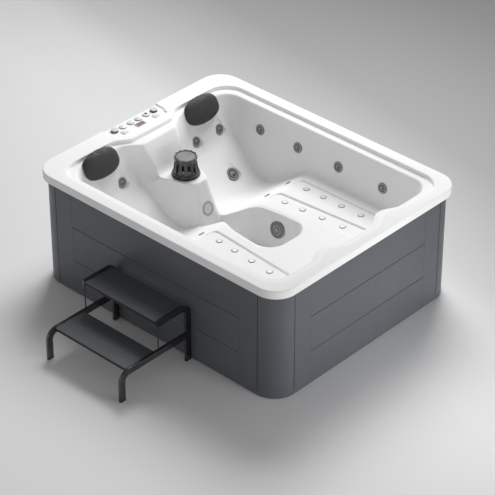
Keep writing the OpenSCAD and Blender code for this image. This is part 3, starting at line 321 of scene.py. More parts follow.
# half width of the footwell's mouth and of the console's top, along the tub
MOUTH = ((-0.72, 0.182), (-0.52, 0.150), (-0.395, 0.118), (-0.30, 0.090), (-0.19, 0.087),
         (-0.119, 0.095), (-0.06, 0.124), (-0.018, 0.146), (0.043, 0.161), (0.11, 0.170),
         (0.179, 0.177), (0.30, 0.181))
CONSOLE_TOP = ((-0.65, 0.147), (-0.431, 0.084), (-0.395, 0.074), (-0.34, 0.074), (-0.30, 0.074))

# leg channels, their corners at either end, and the air injectors along them
CHANNEL_W, CHANNEL_D, CHANNEL_WALL = 0.116, 0.011, 0.004
CHANNEL_START, CHANNEL_MIDDLE, CHANNEL_END = -0.008, 0.4, 0.784
START_R, END_R = 0.042, 0.010
INJECTORS_X = (0.056, 0.199, 0.355, 0.517)


def soft_min(a, b, blend):
    """The lower of two surfaces, rounded where they meet."""
    return np.minimum(a, b) - np.maximum(blend - np.abs(a - b), 0) ** 2 / (4 * blend)


def soft_max(a, b, blend):
    return -soft_min(-a, -b, blend)


def ease(t):
    """Smooth step from 0 to 1."""
    t = np.clip(t, 0, 1)
    return t * t * (3 - 2 * t)


def curve(x, points):
    """Smooth line through the points."""
    px, py = np.array(points).T
    slope = np.gradient(py, px)
    x = np.clip(x, px[0], px[-1])
    i = np.clip(np.searchsorted(px, x) - 1, 0, len(px) - 2)
    h = px[i + 1] - px[i]
    t = (x - px[i]) / h
    s = 1 - t
    return ((1 + 2 * t) * s * s * py[i] + t * s * s * h * slope[i]
            + t * t * (3 - 2 * t) * py[i + 1] - t * t * s * h * slope[i + 1])


def lounge(x):
    """Height of a lounger: backrest, lower back, seat, and deck under the legs."""
    upper = BACK_Z - (x - BACK_X) * BACK_FALL
    lower = LUMBAR_Z - (x - LUMBAR_X) * LUMBAR_FALL
    rise = soft_min(DECK_Z + (x - THIGH_X) * THIGH_RISE, DECK_Z, 0.040)
    return soft_max(soft_max(upper, lower, 0.045), soft_max(SEAT_Z, rise, 0.070), 0.080)


def mouth(x):
    """Half width of the footwell where it meets the loungers."""
    return curve(x, MOUTH)


def footwell(x, y):
    """Height of the footwell: a flat floor with walls that lean out from it."""
    end_x = PIT_X - (DECK_Z - PIT_Z) * PIT_RUN
    half = mouth(x) - (lounge(x) - PIT_Z) * PIT_RUN
    dx = x - (end_x - PIT_R)
    dy = np.abs(y) - (half - PIT_R)
    away = np.where((dx > 0) & (dy > 0), np.hypot(dx, dy), np.maximum(dx, dy)) - PIT_R
    return soft_max(PIT_Z, PIT_Z + away / PIT_RUN, 0.070)


def console(x, y):
    """Height of the console: flat top, drafted sides and a sloping nose."""
    side = ((x - FLANK_AT[0]) * FLANK_WAY[0] + (np.abs(y) - FLANK_AT[1]) * FLANK_WAY[1]) / DRAFT
    nose = (x - NOSE_X) * NOSE_SLOPE
    return soft_min(CONSOLE_Z, CONSOLE_Z - soft_max(side, nose, 0.260), 0.014)


def floor_z(x, y):
    """Height of everything inside the walls: loungers, footwell and console."""
    cut = soft_min(lounge(x), footwell(x, y), 0.026)
    join = JOIN_HEAD + (JOIN_NOSE - JOIN_HEAD) * ease((x - JOIN_X) / JOIN_RUN)
    return soft_max(cut, console(x, y), join)


def swell(y):
    """The foot wall's two waves and the slight hollow between them."""
    y = np.abs(y)
    wave = np.where(np.abs(y - WAVE_Y) < WAVE_HALF,
                    WAVE_DEEP * np.cos(np.pi / 2 * (y - WAVE_Y) / WAVE_HALF) ** 2, 0)
    return HOLLOW_DEEP * (1 - ease((y - HOLLOW_Y) / HOLLOW_RUN)) - wave


def head_in(y, start, end, amount):
    """How far the head wall comes in behind the console."""
    return amount * (1 - ease((np.abs(y) - start) / (end - start)))


def inner_line(x):
    """Middle of the leg channel nearer the footwell."""
    return 0.308 + (x - INJECTORS_X[0]) * 0.078


def outer_line(x):
    """Middle of the leg channel nearer the wall."""
    return 0.518 + (x - INJECTORS_X[0]) * 0.013


def side_wall(x):
    """Y where the fillet at the foot of the side wall begins."""
    return LEDGE_Y - (LEDGE_Z - lounge(x)) * DRAFT - FILLET


# plan grid: columns along the tub, rows crowded at the edges of the footwell,
# the console and the channels
COLUMNS = ((HEAD_X, -0.640, 30), (-0.640, -0.485, 24), (-0.485, -0.395, 18),
           (-0.395, -0.300, 30), (-0.300, -0.060, 28), (-0.060, 0.045, 27),
           (0.045, 0.300, 20), (0.300, 0.390, 26), (0.390, 0.755, 24), (0.755, FOOT_X, 12))
ROWS = ((10, "even"), (24, "even"), (7, "end"), (14, "both"), (8, "both"), (14, "both"),
        (9, "start"))
HEAD_JOIN, FOOT_JOIN = -0.485, 0.450

columns = np.concatenate([np.linspace(a, b, n + 1)[:-1] for a, b, n in COLUMNS] + [[FOOT_X]])
band, share = [], []
for k, (n, crowd) in enumerate(ROWS):
    t = np.arange(n) / n
    eased = {"both": (1 - np.cos(np.pi * t)) / 2, "end": np.sin(np.pi * t / 2),
             "start": 1 - np.cos(np.pi * t / 2), "even": t}[crowd]
    band += [k] * n
    share += list(0.4 * t + 0.6 * eased)
band = np.array(band + [len(ROWS) - 1])
share = np.array(share + [1.0])


def foot_of_wall(x):
    """Half width of the console top, then of the footwell floor."""
    top = curve(x, CONSOLE_TOP)
    low = mouth(x) - (lounge(x) - PIT_Z) * PIT_RUN
    return top + (low - top) * ease((x + 0.38) / 0.08)


def row_y(x):
    """Y of every row at the given X, one column of the answer for each row."""
    half = CHANNEL_W / 2
    lines = np.stack([0 * x, foot_of_wall(x), mouth(x), inner_line(x) - half, inner_line(x) + half,
                      outer_line(x) - half, outer_line(x) + half, side_wall(x)])
    j = np.arange(len(band))
    low, high = lines[band, :, j].T, lines[band + 1, :, j].T
    return low + (high - low) * share


def round_corner(x, y, p, q, radius, way):
    """Pull the square corner of the grid onto an arc."""
    def first(p):
        a = np.pi / 4 * (1 - p)
        return np.stack([1 - np.sin(a) - p, np.cos(a) - 1])

    def second(q):
        a = np.pi / 4 * (1 - q)
        return np.stack([1 - np.cos(a), np.sin(a) + q - 1])

    inside = (p < 1) & (q < 1)
    p, q = np.clip(p, 0, 1), np.clip(q, 0, 1)
    shift = (1 - q) * first(p) + (1 - p) * second(q) - (1 - p) * (1 - q) * first(0 * p)
    shift = np.where(inside, shift, 0) * radius
    return x + way * shift[0], y + shift[1]


flat_x = np.repeat(columns[:, None], len(band), axis=1)
flat_y = row_y(flat_x)
head_edge = HEAD_X + head_in(flat_y, *CONSOLE_BULGE)
foot_edge = FOOT_X + swell(flat_y)
t_head = np.clip((flat_x - HEAD_X) / (HEAD_JOIN - HEAD_X), 0, 1)
t_foot = np.clip((flat_x - FOOT_JOIN) / (FOOT_X - FOOT_JOIN), 0, 1)
grid_x = np.where(t_head < 1, head_edge + (HEAD_JOIN - head_edge) * t_head,
                  flat_x + (foot_edge - FOOT_X) * t_foot)
grid_y = row_y(grid_x)
wall = side_wall(grid_x)
head_p = (grid_x - HEAD_X) / CORNER_R["head"]
foot_p = (FOOT_X - grid_x) / CORNER_R["foot"]
head_q = (wall - grid_y) / CORNER_R["head"]
foot_q = (wall - grid_y) / CORNER_R["foot"]
plan_x, plan_y = round_corner(grid_x, grid_y, head_p, head_q, CORNER_R["head"], 1)
plan_x, plan_y = round_corner(plan_x, plan_y, foot_p, foot_q, CORNER_R["foot"], -1)
n_x, n_y = plan_x.shape

# stations round the basin's foot, from the foot end's middle to the head end's
foot_i = [(n_x - 1, j) for j in range(n_y)]
side_i = [(i, n_y - 1) for i in range(n_x - 2, -1, -1)]
head_i = [(0, j) for j in range(n_y - 2, -1, -1)]
stations = np.array(foot_i + side_i + head_i)
si, sj = stations.T
at_foot = np.arange(len(stations)) < n_y
at_head = np.arange(len(stations)) >= len(stations) - n_y
q_foot = np.clip(foot_q[si, sj], 0, 1)
p_foot = np.clip(foot_p[si, sj], 0, 1)
q_head = np.clip(head_q[si, sj], 0, 1)
p_head = np.clip(head_p[si, sj], 0, 1)
turn = np.select([at_foot, at_head], [np.pi / 4 * (1 - q_foot), np.pi - np.pi / 4 * (1 - q_head)],
                 np.pi / 2 + np.pi / 4 * ((1 - p_head) - (1 - p_foot)))
side_y = grid_y[si, sj]
foot_share = side_y / (wall[-1, -1] - CORNER_R["foot"])
head_share = side_y / (wall[0, -1] - CORNER_R["head"])
side_share = ((FOOT_X - CORNER_R["foot"] - grid_x[si, sj])
              / (FOOT_X - CORNER_R["foot"] - HEAD_X - CORNER_R["head"]))


def outline(foot, head, width, radius, swelling=0.0, bulge=None):
    """One ring of the rim, walls or lip in plan, at every station."""
    straight_foot = at_foot & (q_foot >= 1)
    straight_head = at_head & (q_head >= 1)
    straight_side = ~at_foot & ~at_head & (p_foot >= 1) & (p_head >= 1)
    y_foot = (width - radius) * foot_share
    y_head = (width - radius) * head_share
    x_head = -head + (head_in(y_head, *bulge) if bulge else 0)
    corner_x = np.where(turn < np.pi / 2, foot - radius, radius - head) + radius * np.cos(turn)
    corner_y = width - radius + radius * np.sin(turn)
    x_side = foot - radius + (radius - head - foot + radius) * side_share
    x = np.select([straight_foot, straight_head, straight_side],
                  [foot + swelling * swell(y_foot), x_head, x_side], corner_x)
    y = np.select([straight_foot, straight_head, straight_side],
                  [y_foot, y_head, np.full_like(x, width)], corner_y)
    return np.stack([x, y], axis=1)


def lip_at(inset):
    return outline(*[size - inset for size in LIP])


def land_at(inset):
    return outline(*[size - inset for size in LAND[:3]], LAND[3])


def riser_at(out):
    return outline(*[size + out for size in RISER], 0.9, RISER_BULGE)


def ledge_at(out):
    return outline(*[size + out for size in LEDGE], 1.0, LEDGE_BULGE)


def toe_at(out):
    """Foot of the wall: the edge of the floor grid pushed out by the fillet."""
    edge = np.stack([plan_x[si, sj], plan_y[si, sj]], axis=1)
    along = np.vstack([edge[1] - edge[0], edge[2:] - edge[:-2], edge[-1] - edge[-2]])
    away = np.stack([along[:, 1], -along[:, 0]], axis=1)
    away /= np.linalg.norm(away, axis=1)[:, None]
    away[0], away[-1] = (1, 0), (-1, 0)
    pushed = edge + away * (FILLET + out)
    pushed[:, 1] = np.maximum(pushed[:, 1], 0)
    return pushed


def rim_z(ring):
    """Rim height, lowered between the curved ends of the control recess."""
    x, y = ring.T
    end = RECESS_HALF - CURVE_IN * ease((x - CURVE_X) / CURVE_RUN)
    lowered = 1 - ease((np.abs(y) - end) / RECESS_STEP)
    return np.where(x < RECESS_X, TOP_Z - RECESS * lowered, TOP_Z)


def level(ring, z):
    """Ring in plan raised to a height."""
    return np.column_stack([ring, np.broadcast_to(z, len(ring))])


def rounded(a, b, c, reach, steps):
    """Rings that turn the corner b between a and c, starting reach away from it."""
    def back(p):
        d = np.linalg.norm(p - b, axis=1)[:, None]
        return b + (p - b) * np.minimum(0.45, reach / d)
    s, e = back(a), back(c)
    return [s * (1 - t) ** 2 + 2 * t * (1 - t) * b + t * t * e
            for t in np.linspace(0, 1, steps + 1)]


def spread_rings(a, b, steps):
    """Rings evenly spaced between a and b, without either."""
    return [a + (b - a) * t for t in np.linspace(0, 1, steps + 1)[1:-1]]


lip_ring = lip_at(0)
lip_low, lip_top = level(lip_ring, LIP_Z), level(lip_ring, rim_z(lip_ring))
land_out = level(land_at(0), rim_z(land_at(0)))
land_in = level(land_at(0.003), TOP_Z)
riser_top, riser_low = level(riser_at(0), TOP_Z), level(riser_at(-0.004), LEDGE_Z + 0.002)
ledge = level(ledge_at(0), LEDGE_Z)
toe_ring = toe_at(0)
toe = level(toe_ring, floor_z(*toe_ring.T))
edge_x, edge_y = plan_x[si, sj], plan_y[si, sj]
floor_edge = np.column_stack([edge_x, edge_y, floor_z(edge_x, edge_y)])

lip_round = rounded(lip_low, lip_top, land_out, reach=0.012, steps=6)
ledge_round = rounded(riser_low, ledge, toe, reach=0.013, steps=6)
toe_round = rounded(ledge, toe, floor_edge, reach=FILLET * 1.6, steps=8)
fillet = [toe_round[0] * (1 - t) ** 2 + 2 * t * (1 - t) * toe + t * t * floor_edge
          for t in np.linspace(0, 1, 9)]
rings = [lip_low] + spread_rings(lip_low, lip_round[0], 3) + lip_round
for ring in spread_rings(lip_round[-1], land_out, 7):
    rings.append(level(ring[:, :2], rim_z(ring[:, :2])))
rings += [land_out, land_in] + rounded(land_in, riser_top, riser_low, reach=0.009, steps=4)
rings += rounded(riser_top, riser_low, ledge, reach=0.004, steps=3) + ledge_round
rings += spread_rings(ledge_round[-1], fillet[0], 16) + fillet

floor_points = np.stack([plan_x, plan_y, floor_z(plan_x, plan_y)], axis=2)


def press_channels(points):
    """Push the leg channels of one half down into the skin."""
    x, y, z = points[..., 0], points[..., 1], points[..., 2].copy()
    for line in (inner_line, outer_line):
        off = np.abs(y - line(x))
        head_half = x < CHANNEL_MIDDLE
        round_r = np.where(head_half, START_R, END_R)
        dx = np.where(head_half, CHANNEL_START - x, x - CHANNEL_END)
        dy = off - (CHANNEL_W / 2 - round_r)
        away = np.where((dx > 0) & (dy > 0), np.hypot(dx, dy), np.maximum(dx, dy)) - round_r
        inside = ease(0.5 - away / CHANNEL_WALL)
        z += inside * (np.minimum(z, DECK_Z - CHANNEL_D) - z)
    return np.stack([x, y, z], axis=-1)


rings = press_channels(np.array(rings))
floor_points = press_channels(floor_points)

# underside, coarser than the top and thick enough to hold the pockets
COARSE = 5
coarse_i = sorted(set(range(0, n_x, COARSE)) | {n_x - 1})
coarse_j = sorted(set(range(0, n_y, COARSE)) | {n_y - 1})
index_of = {tuple(s): k for k, s in enumerate(stations.tolist())}
coarse_k = sorted(index_of[(i, j)] for i in coarse_i for j in coarse_j if (i, j) in index_of)


def under_z(x, y):
    """Underside of the floor: the backed sheet's thickness below it, square to it."""
    d = 0.005
    sx = (floor_z(x + d, y) - floor_z(x - d, y)) / (2 * d)
    sy = (floor_z(x, y + d) - floor_z(x, y - d)) / (2 * d)
    return floor_z(x, y) - BACKED * np.sqrt(1 + sx * sx + sy * sy)


under_toe = toe_at(BACKED)
under_rings = np.array([
    level(lip_at(SHEET), LIP_Z), level(lip_at(SHEET), rim_z(lip_ring) - SHEET),
    level(outline(*UNDER_LAND), TOP_Z - RECESS - SHEET),
    level(riser_at(SHEET), TOP_Z - RECESS - SHEET),
    level(ledge_at(BACKED), LEDGE_Z - BACKED), level(under_toe, toe[:, 2] - SHEET)])
under_floor = np.stack([plan_x, plan_y, under_z(plan_x, plan_y)], axis=2)

vertices, faces = [], []


def add_points(points):
    """Take the points into the mesh and give the number of the first."""
    start = len(vertices)
    vertices.extend(points.reshape(-1, 3).tolist())
    return start


n_k, n_r = len(stations), len(rings)
first_ring = add_points(rings[:-1])
first_floor = add_points(floor_points)


def ring_vertex(r, k):
    """Number of a ring's vertex; the last ring is the edge of the floor grid."""
    if r == n_r - 1:
        i, j = stations[k]
        return first_floor + int(i) * n_y + int(j)
    return first_ring + r * n_k + k


for r in range(n_r - 1):
    for k in range(n_k - 1):
        faces.append((ring_vertex(r, k), ring_vertex(r, k + 1),
                      ring_vertex(r + 1, k + 1), ring_vertex(r + 1, k)))
for i in range(n_x - 1):
    for j in range(n_y - 1):
        a = first_floor + i * n_y + j
        faces.append((a, a + n_y, a + n_y + 1, a + 1))

n_c = len(coarse_k)
first_under = add_points(under_rings[:, coarse_k])
first_base = add_points(under_floor[np.ix_(coarse_i, coarse_j)])
base_of = {(i, j): first_base + a * len(coarse_j) + b
           for a, i in enumerate(coarse_i) for b, j in enumerate(coarse_j)}
n_u = len(under_rings)
for c in range(n_c - 1):
    fine = range(coarse_k[c + 1], coarse_k[c] - 1, -1)
    faces.append((first_under + c, first_under + c + 1, *[first_ring + k for k in fine]))
    for u in range(n_u - 1):
        a = first_under + u * n_c + c
        faces.append((a, a + 1, a + 1 + n_c, a + n_c))
    a = first_under + (n_u - 1) * n_c + c
    i0, j0 = stations[coarse_k[c]].tolist()
    i1, j1 = stations[coarse_k[c + 1]].tolist()
    faces.append((a, a + 1, base_of[(i1, j1)], base_of[(i0, j0)]))
for i0, i1 in zip(coarse_i[:-1], coarse_i[1:]):
    for j0, j1 in zip(coarse_j[:-1], coarse_j[1:]):
        faces.append((base_of[(i0, j0)], base_of[(i1, j0)], base_of[(i1, j1)], base_of[(i0, j1)]))

mesh = bpy.data.meshes.new("acrylic_shell")
mesh.from_pydata(vertices, [], faces)
shell = bpy.data.objects.new("acrylic_shell", mesh)
scene.collection.objects.link(shell)


def only(obj):
    """Select this object alone."""
    bpy.ops.object.select_all(action="DESELECT")
    obj.select_set(True)
    bpy.context.view_layer.objects.active = obj


def apply_modifier(obj, kind, **settings):
    """Add one modifier and apply it."""
    only(obj)
    made = obj.modifiers.new(kind.lower(), kind)
    for name, value in settings.items():
        setattr(made, name, value)
    bpy.ops.object.modifier_apply(modifier=made.name)


def edit(obj, operator, **settings):
    """Run one mesh operator on everything in obj."""
    only(obj)
    bpy.ops.object.mode_set(mode="EDIT")
    bpy.ops.mesh.select_all(action="SELECT")
    operator(**settings)
    bpy.ops.object.mode_set(mode="OBJECT")


apply_modifier(shell, "MIRROR", use_axis=(False, True, False), merge_threshold=1e-5)
edit(shell, bpy.ops.mesh.remove_doubles, threshold=1e-5)
edit(shell, bpy.ops.mesh.normals_make_consistent, inside=False)


def rod(radius, at, normal, length):
    """Round cutter with its middle at a point and its axis along the normal."""
    bpy.ops.mesh.primitive_cylinder_add(vertices=64, radius=radius, depth=length, location=at,
                                        rotation=Vector(normal).to_track_quat("Z", "Y").to_euler())
    return bpy.context.object


def join(parts):
    """Make one object of several."""
    bpy.ops.object.select_all(action="DESELECT")
    for part in parts:
        part.select_set(True)
    bpy.context.view_layer.objects.active = parts[0]
    bpy.ops.object.join()
    return bpy.context.object


def cut_away(cutters):
    """Take all the cutters out of the shell at once."""
    cutter = join(cutters)
    apply_modifier(shell, "BOOLEAN", operation="DIFFERENCE", solver="MANIFOLD", object=cutter)
    bpy.data.objects.remove(cutter)


# the tilt of the faces that carry fittings: each has a normal and, on the
# backrests, a direction down the slope
BACK_TILT, LOW_TILT = math.radians(64.1), math.radians(39.1)
WELL_TILT, NOSE_TILT = math.radians(76), math.radians(72)
BACK_N = (math.sin(BACK_TILT), 0, math.cos(BACK_TILT))
BACK_D = (math.cos(BACK_TILT), 0, -math.sin(BACK_TILT))
LOW_N = (math.sin(LOW_TILT), 0, math.cos(LOW_TILT))
LOW_D = (math.cos(LOW_TILT), 0, -math.sin(LOW_TILT))
NOSE_N = (math.sin(NOSE_TILT), 0, math.cos(NOSE_TILT))

# where the fittings sit
WALL_JETS_X, WALL_JETS_Z = (-0.514, -0.179, 0.174, 0.549), 0.635
WALL_JETS_Y = LEDGE_Y - (LEDGE_Z - WALL_JETS_Z) * DRAFT
BACK_JETS_Y = (0.345, 0.567)
LOW_X, LOW_Y = -0.544, 0.460
LOW_Z = float(lounge(LOW_X))
SUCTION_X, SUCTION_Z = 0.140, 0.395
SUCTION_Y = float(mouth(np.array([SUCTION_X]))[0]) - (DECK_Z - SUCTION_Z) * PIT_RUN
LIGHT_X = -0.336
LIGHT_AT = (LIGHT_X, 0, CONSOLE_Z - (LIGHT_X - NOSE_X) * NOSE_SLOPE)
FILTER_AT = (-0.533, 0, CONSOLE_Z)
DECK_TOP = TOP_Z - RECESS
KNOBS_X, KNOBS_Y = -1.001, (0.034, 0.107, 0.180)
BUTTONS_X, BUTTONS_Y = -0.944, 0.144
PILLOW_X, PILLOW_Y, PILLOW_Z = -0.838, 0.466, 0.749
PINS_Y = 0.080

# radii of the holes and of the round seats, and how far a seat is sunk
FILTER_HOLE, LIGHT_HOLE = 0.1466 / 2, 0.0716 / 2
JET_HOLE, LOW_HOLE, SUCTION_HOLE = 0.024, 0.0323, 0.0287
KNOB_HOLE, BUTTON_HOLE, PIN_HOLE = 0.0127, 0.0188, 0.0054
SUCTION_SEAT, LIGHT_SEAT = (0.059, 0.006), (0.049, 0.005)
SEAT_LENGTH = 0.050


def wall_normal(side):
    return 0, -side * math.cos(WALL_TILT), math.sin(WALL_TILT)


def well_normal(side):
    return 0, -side * math.sin(WELL_TILT), math.cos(WELL_TILT)


# depth of a jet's pocket, and its wall as pairs of a share of that depth and
# how far out it stands there, in millimetres; the last pair closes the bottom
POCKET_DEEP, TAIL_SHALLOWER = 0.012, 0.0117
POCKET_WALL = ((-1.8, 7.0), (-0.02, 5.0), (0.05, 2.4), (0.16, 0.9), (0.4, 0.0), (0.72, -0.8),
               (0.9, -2.4), (1.0, -5.5), (1.0, -60))


def drop_cutter(at, normal, down, radius, tail, tip):
    """Cutter for a jet's pocket: round, narrowing up the slope, its edges eased."""
    angle = math.asin((radius - tip) / tail)
    turns = [(math.pi / 2 - angle) * k / 16 for k in range(17)]
    spine = [(0.0, t) for t in turns] + [(tail * k / 8, turns[-1]) for k in range(1, 9)]
    spine += [(tail, turns[-1] + (math.pi - turns[-1]) * k / 6) for k in range(1, 7)]
    spine += [(u, -t) for u, t in spine[-2:0:-1]]
    normal, down = Vector(normal).normalized(), Vector(down).normalized()
    side = normal.cross(down)
    points = []
    for sink, out in POCKET_WALL:
        for up_slope, t in spine:
            ratio = up_slope / tail
            r = radius + (tip - radius) * ratio + out / 1000 * (1 if out > 0 else 1 - 0.7 * ratio)
            r = 0 if out < -50 else max(0, r)
            deep = POCKET_DEEP if sink < 0 else POCKET_DEEP - TAIL_SHALLOWER * ratio
            points.append(Vector(at) + down * (r * math.cos(t) - up_slope)
                          + side * (r * math.sin(t)) - normal * (deep * sink))
    n = len(spine)
    quads = [(a * n + k, a * n + (k + 1) % n, (a + 1) * n + (k + 1) % n, (a + 1) * n + k)
             for a in range(len(POCKET_WALL) - 1) for k in range(n)]
    made = bpy.data.objects.new("pocket", bpy.data.meshes.new("pocket"))
    made.data.from_pydata(points, [], quads + [tuple(range(n))])
    scene.collection.objects.link(made)
    edit(made, bpy.ops.mesh.remove_doubles, threshold=1e-6)
    edit(made, bpy.ops.mesh.normals_make_consistent, inside=False)
    return made


def seat_cutter(size, at, normal):
    """Cutter for a round seat, sunk into the face it is square to."""
    radius, sink = size
    centre = Vector(at) + Vector(normal).normalized() * (SEAT_LENGTH / 2 - sink)
    return rod(radius, centre, normal, SEAT_LENGTH)


cutters = []
for s in (-1, 1):
    for y in BACK_JETS_Y:
        cutters.append(drop_cutter((BACK_X, s * y, BACK_Z + 0.001), BACK_N, BACK_D,
                                   radius=0.048, tail=0.105, tip=0.007))
    cutters.append(drop_cutter((LOW_X, s * LOW_Y, LOW_Z), LOW_N, LOW_D,
                               radius=0.061, tail=0.090, tip=0.030))
    cutters.append(seat_cutter(SUCTION_SEAT, (SUCTION_X, s * SUCTION_Y, SUCTION_Z),
                               well_normal(s)))
cutters.append(seat_cutter(LIGHT_SEAT, LIGHT_AT, NOSE_N))
cut_away(cutters)

# holes for the fittings, drilled square to the surface they sit on: radius,
# place, direction, and reach to either side
UP = (0, 0, 1)
holes = [(FILTER_HOLE, FILTER_AT, UP, 0.06), (LIGHT_HOLE, LIGHT_AT, NOSE_N, 0.06)]
for s in (-1, 1):
    holes += [(JET_HOLE, (BACK_X, s * y, BACK_Z), BACK_N, 0.06) for y in BACK_JETS_Y]
    holes.append((LOW_HOLE, (LOW_X, s * LOW_Y, LOW_Z), LOW_N, 0.06))
    holes.append((SUCTION_HOLE, (SUCTION_X, s * SUCTION_Y, SUCTION_Z), well_normal(s), 0.06))
    holes += [(JET_HOLE, (x, s * WALL_JETS_Y, WALL_JETS_Z), wall_normal(s), 0.05)
              for x in WALL_JETS_X]
    holes += [(KNOB_HOLE, (KNOBS_X, s * y, DECK_TOP), UP, 0.05) for y in KNOBS_Y]
    holes.append((BUTTON_HOLE, (BUTTONS_X, s * BUTTONS_Y, DECK_TOP), UP, 0.05))
    holes += [(PIN_HOLE, (PILLOW_X, s * PILLOW_Y + t * PINS_Y, PILLOW_Z), BACK_N, 0.05)
              for t in (-1, 1)]
cut_away([rod(radius, at, normal, 2 * reach) for radius, at, normal, reach in holes])
only(shell)
bpy.ops.object.shade_smooth_by_angle(angle=math.radians(35))


def acrylic(name, colour, rough):
    """Glossy cast acrylic: barely clouded white with a slight orange-peel skin."""
    made, tree, shader = new_material(name)
    where = object_coords(tree)
    cloud = between(tree, noise(tree, where, 2.5, 5), 0, 1)
    tree.links.new(tinted(tree, cloud, shaded(colour, 0.985), shaded(colour, 1.015)),
                   shader.inputs["Base Color"])
    smear = noise(tree, where, 9, 5, (1, 1, 3))
    tree.links.new(between(tree, smear, rough - 0.03, rough + 0.05), shader.inputs["Roughness"])
    peel = noise(tree, where, 260, 1)
    bump = node(tree, "ShaderNodeBump", {"Height": peel, "Distance": 0.00004, "Strength": 1.0})
    tree.links.new(bump.outputs[0], shader.inputs["Normal"])
    shader.inputs["Coat Weight"].default_value = 0.3
    shader.inputs["Coat Roughness"].default_value = 0.12
    return made


shell.data.materials.append(acrylic("acrylic_white", (0.80, 0.80, 0.795), 0.28))
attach(shell, "tub")
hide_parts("shell")


# Controls on the rim
# two tall diverter knobs with pale caps and skirts painted dark as shade, four
# low air knobs and two push buttons in pale plastic, each with a dark ring of
# painted shade at its foot, and a display window with plain digits

PALE_PLASTIC = (0.68, 0.685, 0.68)
KNOBS = [(KNOBS_X, s * y) for s in (-1, 1) for y in KNOBS_Y]
BUTTONS = [(BUTTONS_X, s * BUTTONS_Y) for s in (-1, 1)]
# outlines as (radius, height) of the dark rings painted as shade at the foot of each knob and
# button
KNOB_SHADE_RING = [(0.0175, 0.0001), (0.0262, 0.0001), (0.0262, 0.0012), (0.0256, 0.0017),
             (0.0175, 0.0017)]
BUTTON_SHADE_RING = [(0.0252, 0.0001), (0.0268, 0.0001), (0.0268, 0.0007), (0.0264, 0.0010),
               (0.0252, 0.0010)]


def new_piece(name, points, quads):
    """Mesh object from points and faces, placed in its mesh."""
    made = bpy.data.objects.new(name, bpy.data.meshes.new(name))
    made.data.from_pydata([tuple(p) for p in points], [], quads)
    scene.collection.objects.link(made)
    return made


def turned(name, profile, at=(0, 0, 0), axis=(0, 0, 1), steps=64):
    """Ring turned round an axis from a closed outline of (radius, height)."""
    n = len(profile)
    points = [Vector((r * math.cos(2 * math.pi * k / steps),
                      r * math.sin(2 * math.pi * k / steps), h))
              for k in range(steps) for r, h in profile]
    quads = [(k * n + i, (k + 1) % steps * n + i,
              (k + 1) % steps * n + (i + 1) % n, k * n + (i + 1) % n)
             for k in range(steps) for i in range(n)]
    turn = Vector(axis).to_track_quat("Z", "Y")
    made = new_piece(name, [turn @ q + Vector(at) for q in points], quads)
    edit(made, bpy.ops.mesh.remove_doubles, threshold=1e-6)
    edit(made, bpy.ops.mesh.normals_make_consistent, inside=False)
    return made


def block(name, low, high, ease_by=0.0):
    """Box between two corners, its edges rounded."""
    bpy.ops.mesh.primitive_cube_add(size=1)
    made = bpy.context.object
    made.name = name
    size = [b - a for a, b in zip(low, high)]
    middle = [(a + b) / 2 for a, b in zip(low, high)]
    made.data.transform(Matrix.Translation(middle) @ Matrix.Diagonal((*size, 1)))
    if ease_by:
        apply_modifier(made, "BEVEL", width=ease_by, segments=3)
    return made


def finish(obj, name, material, body, slot, *replaced, smooth=40):
    """Name, coat and smooth a piece, and say what it rides on and stands for."""
    obj.name = name
    obj.data.materials.clear()
    obj.data.materials.append(material)
    only(obj)
    bpy.ops.object.shade_smooth_by_angle(angle=math.radians(smooth))
    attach(obj, body)
    if replaced:
        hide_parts(*replaced)


def shaded_skirt_knob(name, low, high, split):
    """Knob with a pale cap above the split and its skirt below it painted dark as shade."""
    made = moulded(name, high, 0.25, coat=0.3, edge=0.0015)
    tree = made.node_tree
    shader = tree.nodes["Principled BSDF"]
    cap = shader.inputs["Base Color"].links[0].from_socket
    height = node(tree, "ShaderNodeSeparateXYZ", {0: object_coords(tree)}).outputs["Z"]
    above = between(tree, height, 0, 1, split - 0.0003, split + 0.0003)
    both = node(tree, "ShaderNodeMix", {"Factor": above, "A": (*low, 1), "B": cap},
                data_type="RGBA")
    tree.links.new(both.outputs["Result"], shader.inputs["Base Color"])
    return made


BANDS_REACH = 0.064


def banded(name, colour, rough, centre, bands):
    """Moulded face with darker and lighter rings round its centre, mirrored at y = 0."""
    made = moulded(name, colour, rough, edge=0.0015)
    tree = made.node_tree
    shader = tree.nodes["Principled BSDF"]
    skin = shader.inputs["Base Color"].links[0].from_socket
    folded = node(tree, "ShaderNodeVectorMath", {0: object_coords(tree)}, operation="ABSOLUTE")
    away = node(tree, "ShaderNodeVectorMath", {0: folded.outputs[0], 1: centre},
                operation="DISTANCE")
    rings = ramp(tree, between(tree, away.outputs["Value"], 0, 1, 0, BANDS_REACH),
                 [(place / BANDS_REACH, (grey, grey, grey, 1)) for place, grey in bands])
    ringed = node(tree, "ShaderNodeVectorMath", {0: skin, 1: rings}, operation="MULTIPLY")
    tree.links.new(ringed.outputs[0], shader.inputs["Base Color"])
    return made


knob_plastic = moulded("knob_pale", PALE_PLASTIC, 0.25, coat=0.3, edge=0.0015)
dress(knob_plastic, "button_bodies", "button_near", "button_far",
      "air_knob_1", "air_knob_2", "air_knob_3")
dress(banded("knob_dark_centre", PALE_PLASTIC, 0.25, (-KNOBS_X, KNOBS_Y[1], DECK_TOP + 0.014),
             ((0.001, 0.10), (0.011, 0.10), (0.0135, 1.0), (0.060, 1.0))), "air_knob_4")
dress(moulded("flange_grey", (0.30, 0.305, 0.31), 0.3, edge=0.0015), "valve_bodies")
# the diverters' skirts are painted dark as shade below their pale caps
dress(shaded_skirt_knob("knob_painted_shade_skirt", (0.09, 0.09, 0.092), (0.62, 0.625, 0.62), DECK_TOP + 0.0125),
      "diverter_near", "diverter_far")
dress(moulded("bezel_grey", (0.42, 0.42, 0.42), 0.3), "display_panel")
dress(moulded("display_window", (0.20, 0.17, 0.165), 0.12), "display_screen")
